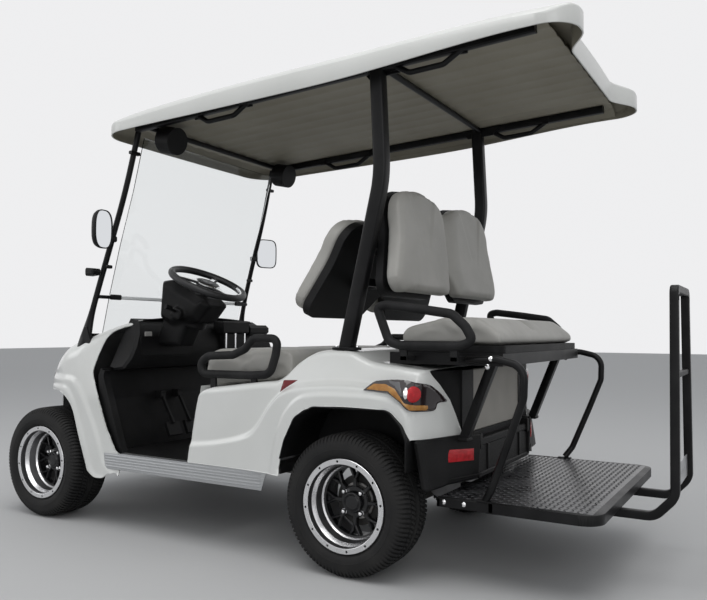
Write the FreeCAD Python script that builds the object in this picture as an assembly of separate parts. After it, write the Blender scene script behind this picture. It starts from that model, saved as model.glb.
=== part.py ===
import FreeCAD, Part
import math
import os

from FreeCAD import Vector

# Golf cart with a rear-facing seat. +X is the cart's left, the front faces -Y, +Z is up.
# The origin is on the ground, under the middle of the whole cart.
# All sizes are in millimetres.

# Driving dimensions of the running gear
front_overhang = 335.0
wheelbase = 1670.0
rear_overhang = 1055.0
tyre_r = 254.0
tyre_w = 205.0
rim_lip_r = 167.0
rim_w = 190.0
track_half = 541.0
kingpin_x = 405.0
steer_limit_deg = 28.0

# Driving dimensions of the body
body_half_w = 608.0
flare_half_w = 655.0
body_wall = 5.0
sill_z = 334.0
rocker_h = 72.0
floor_z = 322.0
floor_t = 8.0
seat_half_w = 540.0

# Driving dimensions of the roof and its struts
roof_half_w = 600.0
roof_wall = 5.0
rail_x = 510.0
rail_r = 16.0
rail_front_z = 1803.0
rail_rise = 81.0
strut_x = 505.0
strut_w = 48.0

# Clearances between pieces
seat_gap = 0.3

# Places that follow from the driving dimensions
overall_length = front_overhang + wheelbase + rear_overhang
beyond_sides = max(body_half_w, flare_half_w) + 60.0
nose_y = -overall_length / 2
front_axle_y = nose_y + front_overhang
rear_axle_y = front_axle_y + wheelbase
tail_y = rear_axle_y + rear_overhang
axle_z = tyre_r


def corner_edges(points):
    """Lines and arcs round a closed outline of (u, v, corner radius)."""
    count = len(points)
    flat = [Vector(p[0], p[1], 0) for p in points]
    starts, ends, mids = [], [], []
    for i, p in enumerate(points):
        radius = p[2] if len(p) > 2 else 0
        here = flat[i]
        to_last = (flat[i - 1] - here)
        to_next = (flat[(i + 1) % count] - here)
        turn = to_last.getAngle(to_next)
        if radius <= 0 or abs(turn - math.pi) < 1e-3:
            starts.append(here)
            ends.append(here)
            mids.append(None)
            continue
        a = to_last.normalize()
        b = to_next.normalize()
        back = radius / math.tan(turn / 2)
        middle = (a + b).normalize()
        deep = radius / math.sin(turn / 2) - radius
        starts.append(here + a * back)
        ends.append(here + b * back)
        mids.append(here + middle * deep)
    edges = []
    for i in range(count):
        if mids[i] is not None:
            edges.append(Part.Arc(starts[i], mids[i], ends[i]).toShape())
        after = starts[(i + 1) % count]
        if (after - ends[i]).Length > 1e-6:
            edges.append(Part.LineSegment(ends[i], after).toShape())
    return edges


def wire_on(points, axis, at):
    edges = []
    for edge in corner_edges(points):
        ends = [edge.valueAt(edge.FirstParameter), edge.valueAt(edge.LastParameter)]
        middle = edge.valueAt((edge.FirstParameter + edge.LastParameter) / 2)
        place = {
            "x": lambda p: Vector(at, p.x, p.y),
            "y": lambda p: Vector(p.x, at, p.y),
            "z": lambda p: Vector(p.x, p.y, at),
        }[axis]
        if edge.Curve.TypeId == "Part::GeomCircle":
            edges.append(Part.Arc(place(ends[0]), place(middle), place(ends[1])).toShape())
        else:
            edges.append(Part.LineSegment(place(ends[0]), place(ends[1])).toShape())
    return Part.Wire(edges)


def slab(points, axis, low, high):
    """Extrude an outline of (u, v, corner radius) along an axis from low to high."""
    face = Part.Face(wire_on(points, axis, low))
    way = {"x": Vector(1, 0, 0), "y": Vector(0, 1, 0), "z": Vector(0, 0, 1)}[axis]
    return face.extrude(way * (high - low))


def box(x0, x1, y0, y1, z0, z1):
    return Part.makeBox(x1 - x0, y1 - y0, z1 - z0, Vector(x0, y0, z0))


def rod(start, end, radius):
    start, end = Vector(*start), Vector(*end)
    return Part.makeCylinder(radius, (end - start).Length, start, end - start)


def route(points, bend):
    """A path of straight runs joined by tangent arcs, through (x, y, z) points."""
    pts = [Vector(*p) for p in points]
    edges = []
    last = pts[0]
    for i in range(1, len(pts) - 1):
        a = (pts[i - 1] - pts[i])
        b = (pts[i + 1] - pts[i])
        turn = a.getAngle(b)
        if abs(turn - math.pi) < 1e-3:
            continue
        room = 0.48 * min(a.Length, b.Length)
        back = min(bend / math.tan(turn / 2), room)
        radius = back * math.tan(turn / 2)
        a.normalize()
        b.normalize()
        middle = (a + b).normalize()
        mid = pts[i] + middle * (radius / math.sin(turn / 2) - radius)
        edges.append(Part.LineSegment(last, pts[i] + a * back).toShape())
        edges.append(Part.Arc(pts[i] + a * back, mid, pts[i] + b * back).toShape())
        last = pts[i] + b * back
    edges.append(Part.LineSegment(last, pts[-1]).toShape())
    return Part.Wire(edges)


def tube(points, radius, bend):
    """A round bar bent along a path."""
    path = route(points, bend)
    first = path.Edges[0]
    start = first.valueAt(first.FirstParameter)
    way = first.tangentAt(first.FirstParameter)
    ring = Part.Wire([Part.Circle(start, way, radius).toShape()])
    return path.makePipeShell([ring], True, False)


def loop_bar(points, radius, bend):
    """An eight-sided bar bent into a closed ring through (x, y, z) points in a plane across X."""
    pts = [Vector(*p) for p in points]
    middle = (pts[0] + pts[-1]) * 0.5
    path = route([middle] + pts + [middle], bend)
    way = (pts[0] - middle).normalize()
    side = Vector(1, 0, 0)
    deep = way.cross(side)
    corners = []
    for i in range(8):
        angle = math.pi / 8 + math.pi / 4 * i
        corners.append(middle + side * (radius * math.cos(angle)) + deep * (radius * math.sin(angle)))
    return path.makePipeShell([Part.makePolygon(corners + [corners[0]])], True, False)


def square_bar(points, width, depth, bend, across):
    """A box-section bar bent along a path; width lies along the vector across."""
    path = route(points, bend)
    first = path.Edges[0]
    start = first.valueAt(first.FirstParameter)
    way = first.tangentAt(first.FirstParameter)
    side = Vector(*across).normalize()
    deep = way.cross(side).normalize()
    corners = []
    for su, sv in ((-1, -1), (1, -1), (1, 1), (-1, 1)):
        corners.append(start + side * (su * width / 2) + deep * (sv * depth / 2))
    wire = Part.makePolygon(corners + [corners[0]])
    return path.makePipeShell([wire], True, False)


def revolve_x(points, centre):
    """Revolve an outline of (x, radius, corner radius) about the X line through centre."""
    face = Part.Face(wire_on([(p[0], p[1]) + tuple(p[2:]) for p in points], "z", 0))
    solid = face.revolve(Vector(0, 0, 0), Vector(1, 0, 0), 360)
    solid.translate(Vector(*centre))
    return solid


def fuse(shapes):
    whole = shapes[0]
    if len(shapes) > 1:
        whole = shapes[0].multiFuse(shapes[1:])
    return whole.removeSplitter()


def group(shapes):
    """Separate solids that share a node."""
    return Part.makeCompound(shapes)


parts = {}

# Wheels. A wide tyre on a stepped rim whose spoked centre sits deep inside the barrel.
rim_face_x = track_half + rim_w / 2
tyre_side_x = track_half + tyre_w / 2
hub_face_x = 548.0
spoke_count = 8
spoke_t = 22.0
hub_r = 58.0
barrel_wall = 6.0
barrel_r = 148.0
bolt_circle_r = 50.8
wheel_bore_r = 32.0


def make_tyre():
    bead = rim_lip_r - 14
    half = tyre_w / 2
    rim_half = rim_w / 2
    side = [(rim_half - 12, bead + seat_gap), (rim_half - 12, rim_lip_r + 3), (half - 2, rim_lip_r + 17),
            (half, rim_lip_r + 33), (half - 5, tyre_r - 22), (half - 25, tyre_r)]
    section = side + [(-x, r) for x, r in reversed(side)]
    return revolve_x(section, (track_half, 0, 0))


def make_rim():
    """Rim barrel with its outer ring, and the spoked centre that bolts to the hub."""
    lip_in = track_half - rim_w / 2
    section = [
        (rim_face_x, rim_lip_r),
        (rim_face_x, rim_lip_r - 19),
        (rim_face_x - 25, rim_lip_r - 20.5),
        (rim_face_x - 39, barrel_r - 11),
        (hub_face_x + 14, barrel_r - 14.5),
        (hub_face_x + 10, barrel_r - 19),
        (lip_in, barrel_r - 12),
        (lip_in, rim_lip_r),
        (lip_in + 12 - seat_gap, rim_lip_r),
        (lip_in + 12 - seat_gap, rim_lip_r - 14),
        (rim_face_x - 12 + seat_gap, rim_lip_r - 14),
        (rim_face_x - 12 + seat_gap, rim_lip_r),
    ]
    barrel = revolve_x(section, (0, 0, 0))
    centre = Part.makeCylinder(hub_r, spoke_t + 6, Vector(hub_face_x - spoke_t, 0, 0), Vector(1, 0, 0))
    pieces = [barrel, centre]
    outer = barrel_r - 14
    for i in range(spoke_count):
        arm = slab(
            [(-9, hub_r - 10), (9, hub_r - 10), (8, 92), (30, outer), (16, outer), (0, 100), (-16, outer),
             (-30, outer), (-8, 92)],
            "x", hub_face_x - spoke_t, hub_face_x)
        arm.rotate(Vector(0, 0, 0), Vector(1, 0, 0), 360.0 * i / spoke_count)
        pieces.append(arm)
    whole = fuse(pieces)
    bore = Part.makeCylinder(wheel_bore_r, 60, Vector(hub_face_x - spoke_t - 10, 0, 0), Vector(1, 0, 0))
    cuts = [bore]
    for i in range(4):
        angle = math.radians(45 + 90 * i)
        at = Vector(hub_face_x - spoke_t - 10, bolt_circle_r * math.cos(angle), bolt_circle_r * math.sin(angle))
        cuts.append(Part.makeCylinder(6.5, 60, at, Vector(1, 0, 0)))
    return whole.cut(cuts)


tyre = make_tyre()
rim = make_rim()
wheel_places = {
    "front_left": (1, front_axle_y),
    "front_right": (-1, front_axle_y),
    "rear_left": (1, rear_axle_y),
    "rear_right": (-1, rear_axle_y),
}
for name, (side, y) in wheel_places.items():
    for kind, shape in (("tyre", tyre), ("rim", rim)):
        piece = shape.copy()
        if side < 0:
            piece = piece.mirror(Vector(0, 0, 0), Vector(1, 0, 0))
        piece.translate(Vector(0, y, axle_z))
        parts[kind + "_" + name] = piece

# Steering knuckles, beam axle and tie rod.
kingpin_r = 13.0
kingpin_half_h = 78.0
ear_t = 14.0
arm_back = 120.0
arm_t = 12.0
steer_arm_z = axle_z - 76.0
hub_flange_r = 66.0
tie_rod_r = 9.0
beam_r = 24.0


def make_knuckle():
    pin = rod((kingpin_x, 0, -kingpin_half_h), (kingpin_x, 0, kingpin_half_h), kingpin_r)
    boss = rod((kingpin_x, 0, -44), (kingpin_x, 0, 44), kingpin_r + 11)
    stub = rod((kingpin_x, 0, 0), (hub_face_x - spoke_t - 12, 0, 0), 21)
    flange = rod((hub_face_x - spoke_t - 12, 0, 0), (hub_face_x - spoke_t - seat_gap, 0, 0), hub_flange_r)
    nose = rod((hub_face_x - spoke_t - 2, 0, 0), (hub_face_x + 16, 0, 0), wheel_bore_r - 0.5)
    low = steer_arm_z - axle_z
    arm = slab([(kingpin_x - 20, -18, 8), (kingpin_x + 20, -18, 8), (kingpin_x + 14, arm_back + 14, 12),
                (kingpin_x - 14, arm_back + 14, 12)], "z", low, low + arm_t)
    return fuse([pin, boss, stub, flange, nose, arm])


knuckle = make_knuckle()
knuckle.translate(Vector(0, front_axle_y, axle_z))
parts["knuckle_left"] = knuckle
parts["knuckle_right"] = knuckle.mirror(Vector(0, 0, 0), Vector(1, 0, 0))

rod_z = steer_arm_z + arm_t + seat_gap + tie_rod_r + 8
rod_y = front_axle_y + arm_back
eye_low_z = steer_arm_z + arm_t + seat_gap
eyes = []
for side in (1, -1):
    eyes.append(rod((side * kingpin_x, rod_y, eye_low_z), (side * kingpin_x, rod_y, rod_z + 16), 15))
parts["tie_rod"] = fuse([rod((-kingpin_x, rod_y, rod_z), (kingpin_x, rod_y, rod_z), tie_rod_r)] + eyes)


def make_beam():
    fork_x = kingpin_x - 34
    pieces = [rod((-fork_x, 0, 0), (fork_x, 0, 0), beam_r)]
    for side in (1, -1):
        back = box(-8, 8, -24, 24, -kingpin_half_h, kingpin_half_h)
        back.translate(Vector(side * (fork_x - 8), 0, 0))
        pieces.append(back)
        for top in (1, -1):
            z0 = top * (44 + 2)
            low, high = sorted((z0, z0 + top * ear_t))
            ear = slab([(fork_x - 12, -24, 4), (kingpin_x + 18, -22, 14), (kingpin_x + 18, 22, 14),
                        (fork_x - 12, 24, 4)], "z", low, high)
            if side < 0:
                ear = ear.mirror(Vector(0, 0, 0), Vector(1, 0, 0))
            pieces.append(ear)
    whole = fuse(pieces)
    cuts = []
    for side in (1, -1):
        cuts.append(rod((side * kingpin_x, 0, -kingpin_half_h - 9), (side * kingpin_x, 0, kingpin_half_h + 9),
                        kingpin_r + 0.05))
    return whole.cut(cuts)


beam = make_beam()
beam.translate(Vector(0, front_axle_y, axle_z))
parts["front_axle_beam"] = beam

# Ladder frame with kicked-up ends, cross members and the rear extension that carries the step.
rail_x_frame = 235.0
frame_w = 40.0
frame_h = 55.0
frame_low_z = 258.0
frame_high_z = 372.0
frame_front_y = nose_y + 70.0
frame_rear_y = rear_axle_y + 330.0
frame_dip_front_y = front_axle_y + 372.0
frame_dip_rear_y = rear_axle_y - 400.0


def frame_rail_outline():
    low, high, deep = frame_low_z, frame_high_z, frame_h
    return [
        (frame_front_y, high, 4), (front_axle_y + 296, high, 24), (frame_dip_front_y, low, 24),
        (frame_dip_rear_y, low, 24), (rear_axle_y - 290, high, 24), (frame_rear_y, high, 4),
        (frame_rear_y, high + deep, 4), (rear_axle_y - 315, high + deep, 24),
        (frame_dip_rear_y - 25, low + deep, 24), (frame_dip_front_y + 25, low + deep, 24),
        (front_axle_y + 321, high + deep, 24), (frame_front_y, high + deep, 4),
    ]


rails = []
for side in (1, -1):
    inner, outer = sorted((side * (rail_x_frame - frame_w / 2), side * (rail_x_frame + frame_w / 2)))
    rails.append(slab(frame_rail_outline(), "x", inner, outer))
cross_half = rail_x_frame - frame_w / 2 + 2
cross_members = [
    (frame_front_y + 10, frame_high_z + 8, 40.0),
    (frame_dip_front_y + 60, frame_low_z + 8, 40.0),
    (frame_dip_rear_y - 60, frame_low_z + 8, 40.0),
    (frame_rear_y - 50, frame_high_z + 8, 40.0),
]
for y, z, size in cross_members:
    rails.append(box(-cross_half, cross_half, y, y + size, z, z + size))
# Outriggers: front face's y, lower edge, upper edge; the rear pair ends in tabs against the seat base
outriggers = (
    (front_axle_y + 480, frame_low_z + 10, floor_z - seat_gap),
    (rear_axle_y - 812, frame_low_z + 10, floor_z - seat_gap),
    (rear_axle_y - 355, 326.0, 366.0),
)
outrigger_x = body_half_w - 32.0
tab_x = body_half_w - body_wall - seat_gap
for y, low_z, high_z in outriggers:
    for side in (1, -1):
        inner, outer = sorted((side * (rail_x_frame + frame_w / 2 - 2), side * outrigger_x))
        rails.append(box(inner, outer, y, y + 40, low_z, high_z))
for side in (1, -1):
    inner, outer = sorted((side * (outrigger_x - 2), side * tab_x))
    rails.append(box(inner, outer, outriggers[2][0], outriggers[2][0] + 40, 346.0, 366.0))
parts["chassis_frame"] = fuse(rails)

# Leaf springs under the frame at both axles.
spring_w = 44.0
spring_half = 230.0
leaf_t = 8.0
leaf_halves = (spring_half, 165.0, 105.0)
spring_drop = 26.0


def make_spring(seat_z, y):
    """A stack of curved leaves whose middle seats on the axle and whose eyes hang from the frame."""
    pieces = []
    for i, half in enumerate(leaf_halves):
        low = seat_z + leaf_t * (len(leaf_halves) - 1 - i)
        rise = spring_drop * (half / spring_half) ** 2
        path = Part.Arc(Vector(0, -half, low + rise), Vector(0, 0, low), Vector(0, half, low + rise)).toShape()
        top = Part.Arc(Vector(0, half, low + rise + leaf_t), Vector(0, 0, low + leaf_t),
                       Vector(0, -half, low + rise + leaf_t)).toShape()
        ends = [Part.LineSegment(Vector(0, half, low + rise), Vector(0, half, low + rise + leaf_t)).toShape(),
                Part.LineSegment(Vector(0, -half, low + rise + leaf_t), Vector(0, -half, low + rise)).toShape()]
        face = Part.Face(Part.Wire([path, ends[0], top, ends[1]]))
        pieces.append(face.extrude(Vector(spring_w, 0, 0)))
    eye_z = seat_z + leaf_t * 2.5 + spring_drop
    for end in (-1, 1):
        pieces.append(rod((0, end * spring_half, eye_z), (spring_w, end * spring_half, eye_z), 13))
        hanger_z = frame_high_z - seat_gap
        pieces.append(box(0, spring_w, end * spring_half - 9, end * spring_half + 9, eye_z, hanger_z))
    whole = fuse(pieces)
    whole.translate(Vector(-spring_w / 2, y, 0))
    return whole


axle_tube_r = 40.0
springs = []
for y, carrier_r in ((front_axle_y, beam_r), (rear_axle_y, axle_tube_r)):
    for side in (1, -1):
        spring = make_spring(axle_z + carrier_r + seat_gap, y)
        spring.translate(Vector(side * rail_x_frame, 0, 0))
        springs.append(spring)
parts["leaf_springs"] = group(springs)

# Rear axle with its drive case, the motor beside it and the battery pack under the front seat.
diff_r = 96.0
motor_r = 84.0
motor_back = 178.0
motor_len = 205.0
rear_hub_x = hub_face_x - spoke_t - seat_gap


def make_rear_axle():
    pieces = [rod((-rear_hub_x + 40, 0, 0), (rear_hub_x - 40, 0, 0), axle_tube_r)]
    pieces.append(rod((-60, 0, 0), (50, 0, 0), diff_r))
    for side in (1, -1):
        pieces.append(rod((side * (rear_hub_x - 52), 0, 0), (side * (rear_hub_x - 12), 0, 0), 92))
        pieces.append(rod((side * (rear_hub_x - 20), 0, 0), (side * (rear_hub_x - 8), 0, 0), 30))
    whole = fuse(pieces)
    whole.translate(Vector(0, rear_axle_y, axle_z))
    return whole


parts["rear_axle_housing"] = make_rear_axle()
motor_y = rear_axle_y + motor_back
motor_z = axle_z + 34.0
case = fuse([
    rod((-96, motor_y, motor_z), (-60 - seat_gap, motor_y, motor_z), motor_r - 4),
    rod((-96, rear_axle_y, axle_z), (-60 - seat_gap, rear_axle_y, axle_z), diff_r - 10),
    slab([(rear_axle_y, axle_z - 70, 0), (motor_y, motor_z - 70, 0), (motor_y, motor_z + 70, 0),
          (rear_axle_y, axle_z + 70, 0)], "x", -96, -60 - seat_gap),
    rod((-60 - seat_gap - 1, motor_y, motor_z), (-60 + motor_len, motor_y, motor_z), motor_r),
])
parts["drive_motor"] = case.cut(rod((-200, rear_axle_y, axle_z), (0, rear_axle_y, axle_z), axle_tube_r + seat_gap))
battery_front_y = rear_axle_y - 712.0
battery_len = 258.0
battery_half_w = 290.0
battery_h = 250.0
battery_z = frame_low_z + frame_h + seat_gap
parts["battery_pack"] = slab(
    [(-battery_half_w, battery_front_y, 12), (battery_half_w, battery_front_y, 12),
     (battery_half_w, battery_front_y + battery_len, 12), (-battery_half_w, battery_front_y + battery_len, 12)],
    "z", battery_z, battery_z + battery_h)

# Wheel hubs and brake drums that carry the rear rims.
for side, name in ((1, "rear_hub_left"), (-1, "rear_hub_right")):
    hub = fuse([
        rod((side * (rear_hub_x - 8), 0, 0), (side * rear_hub_x, 0, 0), hub_flange_r),
        rod((side * (rear_hub_x - 2), 0, 0), (side * (hub_face_x + 16), 0, 0), wheel_bore_r - 0.5),
    ])
    hub.translate(Vector(0, rear_axle_y, axle_z))
    parts[name] = hub

# Floor tub with its toe board and the liners along the door openings.
floor_front_y = front_axle_y + 395.0
seat_base_y = rear_axle_y - 770.0
liner_w = 34.0
toe = [
    (floor_front_y, floor_z, 0), (floor_front_y - 42, 560, 40), (front_axle_y + 345, 700, 0),
    (front_axle_y + 345 + 14, 700, 0), (floor_front_y - 26, 560, 40), (floor_front_y + 16, floor_z + floor_t, 0),
    (seat_base_y - seat_gap, floor_z + floor_t, 0), (seat_base_y - seat_gap, floor_z, 0),
]
floor_half_w = body_half_w - body_wall - 14.0
tub = [slab(toe, "x", -floor_half_w, floor_half_w)]
for side in (1, -1):
    inner, outer = sorted((side * (floor_half_w - liner_w), side * floor_half_w))
    tub.append(slab([
        (front_axle_y + 360, floor_z + 2, 0), (front_axle_y + 334, 668, 30), (front_axle_y + 346, 696, 0),
        (front_axle_y + 376, 690, 0), (front_axle_y + 366, 668, 30), (front_axle_y + 500, floor_z + 2, 0),
    ], "x", inner, outer))
parts["floor_tub"] = fuse(tub)

# Front cowl with its fenders: one moulded shell, lofted along the cart and cut for doors and wheels.
# Columns: distance behind the front axle, half width, shoulder height, rise of the crown, shoulder radius.
cowl_stations = (
    (-front_overhang + 8, 190.0, 560.0, 14.0, 70.0),
    (-285.0, 285.0, 610.0, 18.0, 80.0),
    (-190.0, 400.0, 672.0, 24.0, 90.0),
    (-60.0, 520.0, 742.0, 30.0, 95.0),
    (80.0, 592.0, 808.0, 34.0, 90.0),
    (260.0, body_half_w, 852.0, 36.0, 80.0),
    (420.0, body_half_w, 902.0, 34.0, 70.0),
    (640.0, body_half_w, 936.0, 24.0, 60.0),
    (760.0, body_half_w, 940.0, 20.0, 60.0),
)
cowl_low_z = 213.0
tumble = 12.0


def cowl_form(out, low):
    """The cowl's outside, moved outward by out, down to the height low."""
    wires = []
    for i, (back, half, shoulder, crown, radius) in enumerate(cowl_stations):
        y = front_axle_y + back - (out if i == 0 else 0)
        w, top, r = half + out, shoulder + out, radius
        left_top = Vector(-(w - tumble), y, top - r)
        right_top = Vector(w - tumble, y, top - r)
        bend = r * (1 - math.sqrt(0.5))
        wires.append(Part.Wire([
            Part.LineSegment(Vector(-w, y, low), Vector(w, y, low)).toShape(),
            Part.LineSegment(Vector(w, y, low), right_top).toShape(),
            Part.Arc(right_top, Vector(w - tumble - bend, y, top - bend), Vector(w - tumble - r, y, top)).toShape(),
            Part.Arc(Vector(w - tumble - r, y, top), Vector(0, y, top + crown), Vector(-(w - tumble - r), y, top)
                     ).toShape(),
            Part.Arc(Vector(-(w - tumble - r), y, top), Vector(-(w - tumble - bend), y, top - bend), left_top
                     ).toShape(),
            Part.LineSegment(left_top, Vector(-w, y, low)).toShape(),
        ]))
    return Part.makeLoft(wires, True, False)


# Side outlines of the front wheel opening and of the door opening: distance behind the front axle, height, radius
front_arch = [
    (-front_overhang - 200, -60, 0), (-front_overhang - 200, 590, 0), (70, 596, 120), (186, 548, 60),
    (246, 395, 300), (304, 246, 20), (352, 205, 0), (352, -60, 0),
]
front_well_x = 312.0
cowl_door_cut = [
    (620, -60, 0), (500, -60, 0), (500, 236, 30), (480, sill_z + 2, 0), (322, 680, 60), (443, 874, 120),
    (560, 925, 60), (620, 932, 0), (760, 932, 0), (760, -60, 0),
]
# The flare stands proud between the wheel opening and a swept crease.
front_flare = [
    (-front_overhang, 575, 0), (-front_overhang, 662, 0), (140, 668, 120), (230, 620, 90), (311, 503, 200),
    (382, 370, 90), (398, 262, 30), (404, 214, 10), (360, 206, 10), (290, 240, 0), (180, 560, 60), (70, 580, 60),
]
flare_out = 12.0


def moved(points, dy):
    return [(p[0] + dy,) + tuple(p[1:]) for p in points]


cowl_outer = cowl_form(0, cowl_low_z)
cowl_inner = cowl_form(-body_wall, cowl_low_z - 40)
flare_form = cowl_form(flare_out, cowl_low_z - 20)
flare_inner = cowl_form(flare_out - body_wall, cowl_low_z - 60)
flare_band = slab(moved(front_flare, front_axle_y), "x", -beyond_sides, beyond_sides)
cowl_solid = cowl_outer.fuse(flare_form.common(flare_band))
arch_cuts = []
for side in (1, -1):
    low, high = sorted((side * front_well_x, side * beyond_sides))
    arch_cuts.append(slab(moved(front_arch, front_axle_y), "x", low, high))
door_cut = slab(moved(cowl_door_cut, front_axle_y), "x", -beyond_sides, beyond_sides)
cowl_solid = cowl_solid.cut([cowl_inner, door_cut] + arch_cuts)
nose_low = slab([(front_axle_y - front_overhang - 60, 100, 0), (front_axle_y + 330, 100, 0),
                 (front_axle_y + 330, 270, 0), (front_axle_y - 150, 336, 0),
                 (front_axle_y - front_overhang - 60, 336, 0)],
                "x", -front_well_x - 1, front_well_x + 1)
cowl_solid = cowl_solid.cut(nose_low)
parts["front_cowl"] = cowl_solid

# Black inner panels of the front wheel wells.
well_t = 4.0
front_liner = [
    (-250, 604, 0), (60, 604, 60), (200, 560, 80), (292, 420, 200), (340, 250, 20), (348, 222, 0),
    (348 + well_t, 222, 0), (340 + well_t, 250, 20), (292 + well_t, 424, 200), (202, 566, 80),
    (62, 604 + well_t, 60), (-250, 604 + well_t, 0),
]
liners = []
for side in (1, -1):
    low, high = sorted((side * (front_well_x - 8), side * (body_half_w - body_wall - tumble - 4)))
    band = slab(moved(front_liner, front_axle_y), "x", low, high)
    liners.append(band.common(cowl_form(-body_wall - seat_gap, cowl_low_z)))

# Front bumper across the nose between the wheels.
bumper_arms = []
for side in (1, -1):
    inner, outer = sorted((side * (rail_x_frame - 10), side * (rail_x_frame + 10)))
    bumper_arms.append(box(inner, outer, nose_y + 28, frame_front_y + 18, 290, 310))
    bumper_arms.append(box(inner, outer, frame_front_y + 4, frame_front_y + 18, 300, frame_high_z - seat_gap))
parts["front_bumper"] = fuse([
    slab([(-300, nose_y + 60, 12), (-225, nose_y + 6, 60), (225, nose_y + 6, 60), (300, nose_y + 60, 12),
          (300, nose_y + 78, 0), (-300, nose_y + 78, 0)], "z", 250, 332)
    .cut(slab([(-285, nose_y + 68, 10), (-215, nose_y + 22, 50), (215, nose_y + 22, 50), (285, nose_y + 68, 10),
               (285, nose_y + 120, 0), (-285, nose_y + 120, 0)], "z", 262, 320)),
] + bumper_arms)

# Rear body: the seat base with its skirts, the hump behind the front seat and the rear fenders.
# Side outline from the front of the seat base over the top to the tail: distance behind the rear axle, height
rear_top = [
    (-770, sill_z + 1, 10), (-736, 556, 120), (-712, 641, 40), (-420, 668, 0), (-292, 690, 60),
    (-236, 757, 60), (-150, 803, 60), (-10, 796, 80), (80, 756, 60), (322, 738, 30), (374, 690, 120),
    (448, 531, 12),
]
rear_arch = [
    (-285, sill_z + 1, 0), (-246, 471, 60), (-200, 560, 60), (-120, 602, 60), (190, 606, 50), (240, 555, 40),
    (262, 506, 0),
]
shoulder_x = body_half_w - 48.0
flare_root_x = body_half_w - 68.0
shoulder_z = 806.0
side_top_z = 705.0


def rear_section(out):
    """Cross-section of the rear body seen from behind, moved outward by out."""
    w, s, t = body_half_w + out, shoulder_x + out, shoulder_z + out
    return [(-w, 100, 0), (w, 100, 0), (w, side_top_z, 30), (s, t, 40), (-s, t, 40), (-w, side_top_z, 30)]


def flare_section(out):
    w = flare_half_w + out
    return [(flare_root_x, 100, 0), (w, 100, 0), (w, 636, 20), (w - 14, 698, 30), (shoulder_x, 800 + out, 0),
            (flare_root_x, 800 + out, 0)]


rear_side = moved(rear_top + list(reversed(rear_arch)), rear_axle_y)
rear_outer = slab(rear_side, "x", -beyond_sides, beyond_sides).common(slab(rear_section(0), "y", -900, 1200))
# The hollow runs out below and behind, where black panels close it.
hollow_outline = moved([
    (-770 + body_wall, 100, 0), (-770 + body_wall, sill_z, 0), (-736 + body_wall, 556, 120),
    (-712 + body_wall, 641 - body_wall, 35), (-420, 668 - body_wall, 0), (-292 + 4, 690 - body_wall, 60),
    (-236 + 3, 757 - body_wall, 60), (-150, 803 - body_wall, 60), (-10, 796 - body_wall, 80),
    (80, 756 - body_wall, 60), (322, 738 - body_wall, 0), (600, 738 - body_wall, 0), (600, 100, 0),
], rear_axle_y)
rear_hollow = slab(hollow_outline, "x", -beyond_sides, beyond_sides).common(
    slab(rear_section(-body_wall), "y", -900, 1300))
flare_outline = [
    (-340, sill_z + 1, 0), (-318, 470, 60), (-262, 600, 90), (-170, 676, 120), (-40, 716, 0), (120, 716, 0),
    (250, 676, 60), (296, 600, 60), (312, 512, 0),
]
flare_side = moved(flare_outline + list(reversed(rear_arch)), rear_axle_y)
flare_hollow = [
    (-340 + body_wall, sill_z - 40, 0), (-340 + body_wall, sill_z + 1, 0), (-318 + body_wall, 470, 60),
    (-262 + body_wall, 600 - 3, 90), (-170 + 2, 676 - body_wall, 120), (-40, 716 - body_wall, 0),
    (120, 716 - body_wall, 0), (250 - 2, 676 - body_wall, 60), (296 - body_wall, 600, 60),
    (312 - body_wall, 512, 0), (312 - body_wall, 400, 0),
]
for_cut = [slab(moved(flare_hollow, rear_axle_y), "x", flare_root_x, beyond_sides).common(
    slab(flare_section(-body_wall), "y", -900, 1200))]
flare_add = [slab(flare_side, "x", flare_root_x, beyond_sides).common(slab(flare_section(0), "y", -900, 1200))]
for_cut.append(for_cut[0].mirror(Vector(0, 0, 0), Vector(1, 0, 0)))
flare_add.append(flare_add[0].mirror(Vector(0, 0, 0), Vector(1, 0, 0)))
rear_body = rear_outer.fuse(flare_add).cut(for_cut + [rear_hollow])
parts["rear_body"] = rear_body

# Black panels behind the rear wheels and under the rear deck.
def inset_slab(points, inset, axis, low, high):
    """A slab whose outline is moved inward by inset."""
    face = Part.Face(wire_on(points, axis, low)).makeOffset2D(-inset)
    way = {"x": Vector(1, 0, 0), "y": Vector(0, 1, 0), "z": Vector(0, 0, 1)}[axis]
    return face.extrude(way * (high - low))


well_inner_x = track_half - tyre_w / 2 - 26.5
well_low_z = 400.0
well_outline = rear_arch + [(262, 200, 0), (-285, 200, 0)]
skins = []
for side in (1, -1):
    low, high = sorted((side * well_inner_x, side * (flare_half_w - 1)))
    room_low, room_high = sorted((side * (well_inner_x + well_t), side * (flare_half_w + 10)))
    skin = inset_slab(moved(well_outline, rear_axle_y), seat_gap, "x", low, high)
    room = inset_slab(moved(well_outline, rear_axle_y), seat_gap + well_t, "x", room_low, room_high)
    below = box(-beyond_sides, beyond_sides, rear_axle_y - 400, rear_axle_y + 400, 150, well_low_z)
    skins.append(skin.cut([room, below]))
parts["wheel_arch_liners"] = group(liners + skins)

back_panel_t = 4.0
back_panel = [
    (330, 440, 0), (345, 500, 0), (345, 716, 30), (322, 732.7, 0), (322 - back_panel_t, 728, 0),
    (345 - back_panel_t, 713, 26), (345 - back_panel_t, 502, 0), (330 - back_panel_t, 442, 0),
]
parts["rear_panel"] = slab(moved(back_panel, rear_axle_y), "x", -430, 430)

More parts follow.
